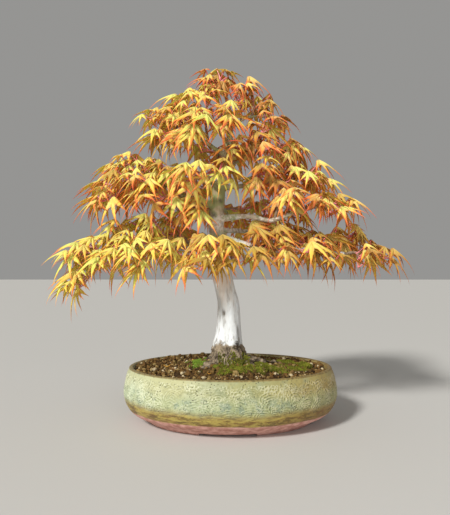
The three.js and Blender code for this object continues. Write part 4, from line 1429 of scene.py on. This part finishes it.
def on_wood(x, y, margin):
    """Whether the trunk's foot or the shown part of a surface root stands at the place."""
    if math.hypot(x - TRUNK[0][0], y) < TRUNK_FOOT_RADIUS:
        return True
    for radii, way in ROOTS:
        path = curve([(*p, 0.0) for p in way], ROOT_CHECKS)[:ROOT_SHOWN]
        thick = radii[0] + (radii[1] - radii[0]) * np.linspace(0, 1, ROOT_CHECKS + 1)[:ROOT_SHOWN]
        if (np.hypot(path[:, 0] - x, path[:, 1] - y) < thick * 0.8 + margin).any():
            return True
    return False


def inside_wall(x, y, margin):
    """Whether a grain of this radius fits inside the pot's wall at the soil's height."""
    inset = WALL_INSET + margin
    return (x / (POT_HALF_LENGTH - inset)) ** 2 + (y / (POT_HALF_DEPTH - inset)) ** 2 < 1


def grain_spot(rng, made):
    """Place and size of the next grain; the first ones lie in a band along the back rim."""
    reach = (POT_HALF_LENGTH - GRAIN_INSET, POT_HALF_DEPTH - GRAIN_INSET)
    x, y = rng.uniform(-1, 1, 2) * reach
    if made < RIM_GRAINS:
        way = rng.uniform(*RIM_GRAIN_ARC)
        inward = rng.uniform(0, RIM_GRAIN_BAND)
        x, y = (reach[0] - inward) * math.cos(way), (reach[1] - inward) * math.sin(way)
    size = rng.uniform(*GRAIN_SIZES) * (SMALL_GRAIN_SHARE if made >= GRAINS else 1)
    return x, y, size * (BIG_GRAIN_SHARE if rng.uniform() < BIG_GRAIN_CHANCE else 1)


def lumpy(points, lumps, rng):
    """Points of a grain, each moved in or out by chance."""
    return points * (1 + lumps * rng.standard_normal(len(points)).clip(-1.6, 1.6))[:, None]


def add_grain(shape, grain, local, place, look, cells):
    """A grain at its place, with one look all over and its own square of the UV map."""
    points, faces = grain
    corner, cell = cells.next()
    flat = points[:, :2] * [0.24, 0.45] + np.where(points[:, 2:] > 0, 0.25, 0.75) * [1, 0] + [0, 0.5]
    shape.add(local + place, [faces], 0, look, [flat[faces.ravel()] * cell + corner])


def make_grains(materials):
    """Grains all over the soil, small ones among them, and the bits that lie loose on it."""
    rng = np.random.default_rng(GRAIN_SEED)
    shape = Shape()
    round_grain = ball(2)
    small_grain = ball(1)
    total = GRAINS + SMALL_GRAINS
    cells = Cells(total + len(LOOSE_BITS))
    made = 0
    for _ in range(GRAIN_TRIES):
        if made == total:
            break
        x, y, size = grain_spot(rng, made)
        if not inside_wall(x, y, size * 0.8) or on_wood(x, y, size * 0.3):
            continue
        small = made >= GRAINS
        grain = small_grain if small else round_grain
        stretch = rng.uniform(0.75, 1.2, 3)
        local = lumpy(grain[0], 0.2, rng) * stretch * size
        spin = Matrix.Rotation(rng.uniform(0, 6.28), 3, Vector(rng.standard_normal(3)))
        sink = rng.uniform(0.2, 1.4) if small else rng.uniform(-0.1, 0.75)
        z = float(soil_height(x, y)) + size * sink + rng.uniform(0.1, 1) * heap(x, y)
        look = [rng.uniform(0, 1), moss_amount(x, y), rng.uniform(0, 1), 0]
        add_grain(shape, grain, local @ np.array(spin), [x, y, z], look, cells)
        made += 1
    for x, y, size, stretch, tone, fallen in LOOSE_BITS:
        local = lumpy(round_grain[0], 0.16, rng) * stretch * size
        spin = Matrix.Rotation(rng.uniform(0, 6.28), 3, Vector((0.12, 0.1, 1)))
        local[:, 2] += 0.5 * local[:, 0] ** 2 / size * fallen
        z = float(soil_height(x, y)) + 0.7 * size + heap(x, y)
        add_grain(shape, round_grain, local @ np.array(spin), [x, y, z], [tone, 0, 0, fallen], cells)
    piece = shape.piece("soil_grains", materials, sharp=55)
    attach(piece, "root")


def bark_spots(wood, rng):
    """Places on the front of the trunk's foot where moss climbs."""
    place = read_points(wood.data)
    x, y, z = place.T
    front = (y < -8) & (x > -14) & (x < 24) & (z > 66)
    chosen = place[front & (rng.uniform(0, 1, len(x)) < (BARK_MOSS_TOP - z + 4 * np.sin(x * 0.4)) / 22)]
    return chosen[rng.permutation(len(chosen))[:BARK_TUFTS]]


def soil_spot(rng):
    """A place for a tuft on the soil and its hump, or nothing where no moss grows."""
    x, y = rng.uniform(-1, 1, 2) * (POT_HALF_LENGTH - MOSS_INSET, POT_HALF_DEPTH - MOSS_INSET)
    if not inside_wall(x, y, 3) or on_wood(x, y, 0.3):
        return None
    amount = moss_amount(x, y)
    if rng.uniform() > amount:
        return None
    hump = MOSS_HUMP * amount * (0.55 + 0.9 * noise.noise(Vector((x * 0.3, y * 0.3, 1))))
    return x, y, float(soil_height(x, y)) + 0.6 + 0.9 * heap(x, y), hump


def add_tuft(shape, x, y, base, hump, cells, rng):
    """A short pointed leaf of moss that leans its own way."""
    tall = rng.uniform(1.0, 2.3)
    lean = rng.normal(0, 0.45, 2)
    wide = rng.uniform(0.35, 0.62)
    spin = rng.uniform(0, 6.28)
    ways = [(math.cos(spin + a), math.sin(spin + a)) for a in TUFT_CORNERS]
    ring = [(x + wide * c, y + wide * s, base - 1.2) for c, s in ways]
    knee = [(x + wide * 1.25 * c + lean[0] * 0.5, y + wide * 1.25 * s + lean[1] * 0.5, base + hump)
            for c, s in ways]
    tip = (x + lean[0] * tall * 0.6, y + lean[1] * tall * 0.6, base + hump + tall)
    tone = rng.uniform(0, 1)
    marks = [(tone, height, 0.0, 0.0) for height in TUFT_HEIGHTS]
    corner, size = cells.next()
    places = TUFT_PLACES[TUFT_FACES.ravel()] * 0.95 * size + corner
    shape.add(ring + knee + [tip], [TUFT_FACES], 0, marks, [places])


def make_moss(wood, materials):
    """Cushions of moss: tufts on low humps of the soil and on the foot of the trunk."""
    rng = np.random.default_rng(MOSS_SEED)
    on_bark = list(bark_spots(wood, rng))
    total = MOSS_TUFTS + len(on_bark)
    cells = Cells(total)
    shape = Shape()
    for _ in range(MOSS_TRIES):
        if cells.used == total:
            break
        spot = (*on_bark.pop(), BARK_HUMP) if on_bark else soil_spot(rng)
        if spot:
            add_tuft(shape, *spot, cells, rng)
    piece = shape.piece("moss", materials, sharp=80)
    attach(piece, "root")


# Materials

class Nodes:
    """Short names for the shader nodes that the materials use."""

    def __init__(self, name):
        self.material = bpy.data.materials.new(name)
        self.material.use_nodes = True
        self.tree = self.material.node_tree
        self.tree.nodes.clear()
        self.output = self.tree.nodes.new("ShaderNodeOutputMaterial")
        self.place = self.tree.nodes.new("ShaderNodeTexCoord").outputs["Object"]

    def link(self, value, socket):
        if isinstance(value, bpy.types.NodeSocket):
            self.tree.links.new(value, socket)
        elif value is not None:
            socket.default_value = value

    def look(self):
        """The piece's own four numbers a point."""
        node = self.tree.nodes.new("ShaderNodeAttribute")
        node.attribute_name = "look"
        parts = self.tree.nodes.new("ShaderNodeSeparateColor")
        self.link(node.outputs["Color"], parts.inputs[0])
        return parts.outputs[0], parts.outputs[1], parts.outputs[2], node.outputs["Alpha"]

    def axes(self):
        """The place's x, y and z in metres."""
        node = self.tree.nodes.new("ShaderNodeSeparateXYZ")
        self.link(self.place, node.inputs[0])
        return tuple(node.outputs)

    def math(self, operation, *values):
        node = self.tree.nodes.new("ShaderNodeMath")
        node.operation = operation
        for value, socket in zip(values, node.inputs):
            self.link(value, socket)
        return node.outputs[0]

    def plus(self, a, b):
        return self.math("ADD", a, b)

    def times(self, a, b):
        return self.math("MULTIPLY", a, b)

    def swing(self, value, width):
        """A value from 0 to 1 as one of this width around nought."""
        return self.math("MULTIPLY_ADD", value, width, -width / 2)

    def ranged(self, value, low, high, to_low=0.0, to_high=1.0):
        node = self.tree.nodes.new("ShaderNodeMapRange")
        node.interpolation_type = "SMOOTHSTEP"
        for entry, socket in zip((value, low, high, to_low, to_high), node.inputs):
            self.link(entry, socket)
        return node.outputs[0]

    def band(self, value, low, full, last, high):
        """1 between full and last, 0 below low and above high."""
        return self.times(self.ranged(value, low, full), self.ranged(value, last, high, 1, 0))

    def stretched(self, scale):
        node = self.tree.nodes.new("ShaderNodeMapping")
        self.link(self.place, node.inputs["Vector"])
        node.inputs["Scale"].default_value = scale
        return node.outputs[0]

    def noise(self, scale, detail, roughness=0.55, vector=None):
        node = self.tree.nodes.new("ShaderNodeTexNoise")
        self.link(vector or self.place, node.inputs["Vector"])
        node.inputs["Scale"].default_value = scale
        node.inputs["Detail"].default_value = detail
        node.inputs["Roughness"].default_value = roughness
        return node.outputs["Fac"]

    def cells(self, scale):
        node = self.tree.nodes.new("ShaderNodeTexVoronoi")
        self.link(self.place, node.inputs["Vector"])
        node.inputs["Scale"].default_value = scale
        return node.outputs["Distance"]

    def mix(self, share, a, b):
        node = self.tree.nodes.new("ShaderNodeMix")
        node.data_type = "RGBA"
        self.link(share, node.inputs[0])
        self.link(colour(a), node.inputs[6])
        self.link(colour(b), node.inputs[7])
        return node.outputs[2]

    def bump(self, height, distance, strength):
        node = self.tree.nodes.new("ShaderNodeBump")
        node.inputs["Strength"].default_value = strength
        node.inputs["Distance"].default_value = distance
        self.link(height, node.inputs["Height"])
        return node.outputs[0]

    def principled(self, base, roughness, normal=None, specular=0.5):
        node = self.tree.nodes.new("ShaderNodeBsdfPrincipled")
        self.link(colour(base), node.inputs["Base Color"])
        self.link(roughness, node.inputs["Roughness"])
        node.inputs["Specular IOR Level"].default_value = specular
        self.link(normal, node.inputs["Normal"])
        return node.outputs[0]

    def show(self, shader):
        self.link(shader, self.output.inputs["Surface"])
        return self.material


def colour(value):
    """A socket stays; a hex number becomes a linear colour."""
    if not isinstance(value, int):
        return value
    parts = [((value >> shift) & 255) / 255 for shift in (16, 8, 0)]
    return tuple(c / 12.92 if c <= 0.04045 else ((c + 0.055) / 1.055) ** 2.4 for c in parts) + (1.0,)


def leaf_material():
    n = Nodes("maple_leaf")
    edge, row, tone, blush = n.look()
    # share of red: the leaf's own, more at the margins and the tips
    margin = n.ranged(edge, 0.5, 0.97, 0, 0.74)
    tip = n.ranged(row, 0.3, 0.95, 0, 0.8)
    red = n.plus(n.plus(margin, tip), n.math("MULTIPLY_ADD", blush, 0.95, -0.3))
    red = n.plus(red, n.swing(n.noise(60, 2), 0.5))
    yellow = n.mix(n.ranged(tone, 0.2, 0.9), 0xFCE45C, 0xE6EE6C)
    warm = n.mix(n.ranged(red, 0.05, 0.62), yellow, 0xF6963C)
    full = n.mix(n.ranged(red, 0.6, 1.1), warm, 0xE4644A)
    # paler cream towards each leaf's middle: partly the leaf's own paler centre, partly a painted highlight
    full = n.mix(n.ranged(row, 0.05, 0.5, 0.5, 0), full, 0xF8F6A4)
    # dark brownish where the tone is low: some leaves at random, and painted shade on the shaded branches
    full = n.mix(n.ranged(tone, 0.0, 0.3, 0.55, 0), full, 0xAC7018)
    # midrib and side veins, a little paler
    midrib = n.ranged(edge, 0.0, 0.14, 1, 0)
    wave = n.math("FRACT", n.times(row, 7.0))
    side = n.ranged(n.math("ABSOLUTE", n.math("SUBTRACT", wave, 0.5)), 0.0, 0.13, 1, 0)
    vein = n.math("MAXIMUM", midrib, n.times(side, 0.5))
    base = n.mix(n.times(vein, 0.4), full, 0xF8E8A0)
    height = n.plus(n.times(vein, -0.6), n.noise(900, 2))
    normal = n.bump(height, 0.0002, 0.35)
    body = n.principled(base, 0.5, normal, specular=0.26)
    through = n.tree.nodes.new("ShaderNodeBsdfTranslucent")
    n.link(n.mix(0.25, base, 0xF8DC50), through.inputs["Color"])
    both = n.tree.nodes.new("ShaderNodeMixShader")
    both.inputs[0].default_value = 0.32
    n.link(body, both.inputs[1])
    n.link(through.outputs[0], both.inputs[2])
    return n.show(both.outputs[0])


def shoot_material():
    n = Nodes("maple_shoot")
    _, _, tone, red = n.look()
    # paler pink with a higher leaf tone, so the petioles of the shaded branches get the painted shade too
    fresh = n.mix(tone, 0xE26E76, 0xF2AAA4)
    woody = n.mix(n.noise(400, 3), 0x7A6650, 0xA8927A)
    base = n.mix(red, woody, fresh)
    normal = n.bump(n.noise(900, 2), 0.0002, 0.3)
    return n.show(n.principled(base, 0.5, normal, specular=0.4))


def bark_material():
    n = Nodes("maple_bark")
    hollow, lift, _, _ = n.look()
    _, _, z = n.axes()
    tall = n.stretched((1, 1, 0.22))
    streak = n.noise(260, 4, 0.6, tall)
    # silvery stem with dark cracks, and tan places higher up
    silver = n.mix(n.ranged(n.noise(55, 3, 0.55, tall), 0.35, 0.7), 0xE8ECEC, 0xCBCCC8)
    silver = n.mix(n.ranged(streak, 0.52, 0.68, 0, 0.6), silver, 0x98938A)
    cracks = n.noise(130, 4, 0.6, n.stretched((1, 1, 0.12)))
    silver = n.mix(n.ranged(cracks, 0.56, 0.62, 0, 0.6), silver, 0x77706A)
    tan = n.ranged(n.noise(48, 3, 0.6, tall), 0.42, 0.62, 0, 0.6)
    silver = n.mix(n.times(n.ranged(z, 0.11, 0.17), tan), silver, 0xDCC4A8)
    # green upper wood with one scaly band and two with algae
    green = n.mix(n.ranged(n.noise(60, 3), 0.35, 0.6), 0xC8B898, 0x96825E)
    green = n.mix(n.ranged(n.noise(44, 3), 0.46, 0.58, 0, 0.8), green, 0x87984C)
    green = n.mix(n.ranged(streak, 0.5, 0.7, 0, 0.5), green, 0x74644C)
    scales = n.ranged(n.noise(240, 4, 0.7), 0.42, 0.56, 0, 0.8)
    green = n.mix(n.times(n.band(z, 0.226, 0.236, 0.246, 0.258), scales), green, 0xE4DCD0)
    algae = n.math("MAXIMUM", n.band(z, 0.252, 0.266, 0.284, 0.3), n.band(z, 0.214, 0.221, 0.226, 0.234))
    algae = n.times(algae, n.ranged(n.noise(90, 4, 0.65), 0.36, 0.56, 0, 0.85))
    green = n.mix(algae, green, 0x8A9A4A)
    upper = n.ranged(n.plus(z, n.swing(n.noise(40, 3), 0.05)), 0.196, 0.238)
    bark = n.mix(n.times(upper, 0.85), silver, green)
    # rough brown root crown
    brown = n.mix(n.ranged(n.noise(150, 4, 0.7), 0.36, 0.62), 0x988870, 0x32281C)
    crown = n.ranged(n.plus(z, n.swing(n.noise(60, 5, 0.7), 0.06)), 0.0905, 0.0985, 1, 0)
    bark = n.mix(crown, bark, brown)
    # dark in the scars and the furrows
    bark = n.mix(n.times(hollow, 0.75), bark, 0x3A3026)
    bark = n.mix(n.ranged(lift, 0.08, 0.34, 0.4, 0), bark, 0x6A5E4E)
    depth = n.plus(n.times(streak, 0.8), n.times(n.noise(700, 4, 0.6, tall), 0.5))
    return n.show(n.principled(bark, 0.78, n.bump(depth, 0.0009, 0.5), specular=0.25))


def glaze_material():
    n = Nodes("pot_glaze")
    relief, _, _, _ = n.look()
    x, _, z = n.axes()
    fine = n.noise(260, 4, 0.65)
    streaked = n.stretched((1, 1, 5))
    # celadon that turns olive along the wall, with blue-grey patches; paler at the left end and darker at
    # the right, partly the glaze's own colour and partly painted light and shade from the key light on the
    # left
    pale = n.mix(n.ranged(x, -0.15, 0.01), 0xC8D0B2, 0x8E8E60)
    pale = n.mix(n.ranged(x, 0.01, 0.115), pale, 0x90723C)
    glaze = n.mix(n.ranged(n.noise(18, 3, 0.55), 0.4, 0.6, 0, 0.5), pale, 0xA8A066)
    glaze = n.mix(n.ranged(n.noise(60, 3, 0.6), 0.52, 0.68, 0, 0.25), glaze, 0x8E9C84)
    lower = n.band(z, 0.026, 0.034, 0.04, 0.052)
    glaze = n.mix(n.times(lower, 0.45), glaze, 0x98A680)
    blue = n.times(lower, n.ranged(n.noise(90, 4, 0.7), 0.48, 0.6, 0, 0.75))
    glaze = n.mix(n.times(blue, n.ranged(x, 0.03, 0.09, 1, 0.2)), glaze, 0x768470)
    # pale on the raised lines, dark in the grooves between them
    glaze = n.mix(n.ranged(relief, 0.55, 0.95, 0.0, 0.65), glaze, n.mix(0.4, pale, 0xF2F0D2))
    groove = n.times(n.ranged(relief, 0.1, 0.5, 1, 0), n.ranged(fine, 0.35, 0.6, 0.35, 1))
    glaze = n.mix(n.times(groove, 0.42), glaze, 0x666A48)
    glaze = n.mix(n.ranged(fine, 0.56, 0.7, 0, 0.55), glaze, 0x77795C)
    pits = n.times(n.ranged(n.cells(330), 0.12, 0.26, 1, 0), n.ranged(n.noise(45, 2), 0.4, 0.52))
    glaze = n.mix(n.times(pits, 0.85), glaze, 0x3A3626)
    # ochre band low on the wall and brown-olive rim, then the bare clay of the foot
    wobble = n.swing(n.noise(26, 4), 0.012)
    high = n.plus(z, wobble)
    ochre = n.mix(n.ranged(n.noise(80, 4, 0.65, streaked), 0.4, 0.66), 0xA8944A, 0x74542A)
    ochre = n.mix(n.ranged(x, 0.02, 0.1, 0, 0.6), ochre, 0x7C5428)
    ochre = n.mix(n.ranged(n.noise(64, 5, 0.75, streaked), 0.5, 0.58, 0, 0.72), ochre, 0x543E1C)
    glaze = n.mix(n.ranged(high, 0.0242, 0.0355, 0.95, 0), glaze, ochre)
    rim = n.mix(n.ranged(fine, 0.35, 0.65), 0x8A7648, 0x5C4A26)
    glaze = n.mix(n.ranged(z, 0.0638, 0.0648, 0, 0.85), glaze, rim)
    clay = n.mix(n.ranged(n.noise(120, 4), 0.3, 0.7), 0xDCAC9E, 0xB07A6C)
    bare = n.ranged(n.math("MULTIPLY_ADD", wobble, -0.6, high), 0.0162, 0.0178, 1, 0)
    surface = n.mix(bare, glaze, clay)
    normal = n.bump(n.plus(n.times(fine, 0.6), n.times(pits, -1.0)), 0.0006, 0.45)
    return n.show(n.principled(surface, n.ranged(bare, 0, 1, 0.5, 0.85), normal, specular=0.35))


def grain_material():
    n = Nodes("soil_grain")
    tone, mossy, other, fallen = n.look()
    brown = n.mix(n.ranged(tone, 0.0, 0.6), 0x30210E, 0x6E5028)
    brown = n.mix(n.ranged(other, 0.5, 0.9, 0, 0.6), brown, 0x6C562C)
    base = n.mix(n.ranged(tone, 0.72, 0.84), brown, 0x98804F)
    base = n.mix(n.ranged(tone, 0.94, 0.98), base, 0xC8B894)
    base = n.mix(n.ranged(n.noise(500, 3), 0.4, 0.7, 0, 0.4), base, 0x3A2C1A)
    base = n.mix(n.times(mossy, 0.35), base, 0x565426)
    base = n.mix(fallen, base, n.mix(tone, 0xC8963C, 0x8A5A2C))
    normal = n.bump(n.noise(1200, 3), 0.0004, 0.6)
    return n.show(n.principled(base, 0.85, normal, specular=0.2))


def moss_material():
    n = Nodes("moss")
    tone, height, _, _ = n.look()
    x, _, _ = n.axes()
    dark = n.mix(n.noise(60, 2), 0x2A300C, 0x4E481A)
    light = n.mix(tone, 0x8C8430, 0x748428)
    light = n.mix(n.ranged(n.noise(130, 3), 0.42, 0.58, 0, 0.75), light, 0x56561E)
    light = n.mix(n.ranged(x, -0.04, -0.015, 0.8, 0), light, 0x7C9E38)
    base = n.mix(n.ranged(height, 0.1, 1.0), dark, light)
    return n.show(n.principled(base, 0.8, n.bump(n.noise(1500, 2), 0.0003, 0.4), specular=0.1))


def bed_material():
    n = Nodes("soil_bed")
    base = n.mix(n.ranged(n.noise(300, 4), 0.3, 0.7), 0x2E2214, 0x5A4428)
    return n.show(n.principled(base, 0.9, n.bump(n.noise(400, 4), 0.001, 0.8), specular=0.15))


def screen_material():
    n = Nodes("screen_plastic")
    base = n.mix(n.noise(200, 2), 0x1C1E1A, 0x2C2E28)
    return n.show(n.principled(base, 0.5, n.bump(n.noise(900, 2), 0.0002, 0.3)))


def plain_material(name, value, roughness):
    n = Nodes(name)
    return n.show(n.principled(value, roughness))


# Stage, light and camera

FLOOR_REACH = 12.0
SKY_STRENGTH = 0.36
TREE_MIDDLE = (0, 0, 220)


def make_stage():
    reach = FLOOR_REACH
    mesh = bpy.data.meshes.new("floor")
    mesh.from_pydata([(-reach, -reach, 0), (reach, -reach, 0), (reach, reach, 0), (-reach, reach, 0)],
                     [], [(0, 1, 2, 3)])
    mesh.materials.append(plain_material("floor_paint", 0xC4C2BD, 0.75))
    link_object("floor", mesh)
    world = bpy.data.worlds.new("studio")
    world.use_nodes = True
    sky = world.node_tree.nodes["Background"]
    sky.inputs[0].default_value = colour(0xECEBE8)
    sky.inputs[1].default_value = SKY_STRENGTH
    bpy.context.scene.world = world
    bpy.context.scene.view_settings.view_transform = "Standard"


def sun_light(name, way, strength, spread, tint):
    light = bpy.data.lights.new(name, "SUN")
    light.energy = strength
    light.angle = math.radians(spread)
    light.color = tint
    link_object(name, light).rotation_euler = Vector(way).to_track_quat("Z", "Y").to_euler()


def area_light(name, place, target, size, power, tint):
    light = bpy.data.lights.new(name, "AREA")
    light.size = size
    light.energy = power
    light.color = tint
    lamp = link_object(name, light)
    lamp.location = place
    lamp.rotation_euler = (Vector(target) - Vector(place)).to_track_quat("-Z", "Y").to_euler()


# Camera: place in millimetres from the pot's middle, from the photograph's perspective
FRAME_HEIGHT = 515
FOCAL_PIXELS = 530.0
SENSOR = 36.0
CAMERA_PLACE = (-3.23, -659.3, 180.4)
CAMERA_PITCH = 1.57
CAMERA_YAW = 0.28


def make_camera():
    lens = bpy.data.cameras.new("camera")
    lens.sensor_width = SENSOR
    lens.lens = SENSOR * FOCAL_PIXELS / FRAME_HEIGHT
    lens.clip_end = 60
    camera = link_object("camera", lens)
    camera.location = to_frame(CAMERA_PLACE)
    camera.rotation_euler = (math.radians(90 + CAMERA_PITCH), 0, math.radians(CAMERA_YAW))
    bpy.context.scene.camera = camera


make_camera()
make_stage()
sun_light("key", way=(-0.7, -0.98, 0.82), strength=3.7, spread=9, tint=(1.0, 0.99, 0.97))
area_light("fill", place=(0.4, -1.4, 0.42), target=to_frame(TREE_MIDDLE), size=0.7, power=5.9,
           tint=(0.96, 0.98, 1.0))

sprays = plan_sprays()
grow_leaves(sprays)
grow_fillers(sprays)
template = blade_template()
leaf_materials = [leaf_material(), shoot_material()]
leaf_rng = np.random.default_rng(LEAF_SEED)
for spray in sprays:
    make_spray(spray, template, leaf_materials, leaf_rng)
wood = make_wood([bark_material()])
make_pot([glaze_material()])
make_grains([grain_material()])
make_moss(wood, [moss_material()])

# The soil's bed and the screens stay as they are in the part, with better materials
screen = screen_material()
for name, material in (("soil", bed_material()), ("drain_screen_1", screen), ("drain_screen_2", screen)):
    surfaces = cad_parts[name].data.materials
    surfaces.clear()
    surfaces.append(material)
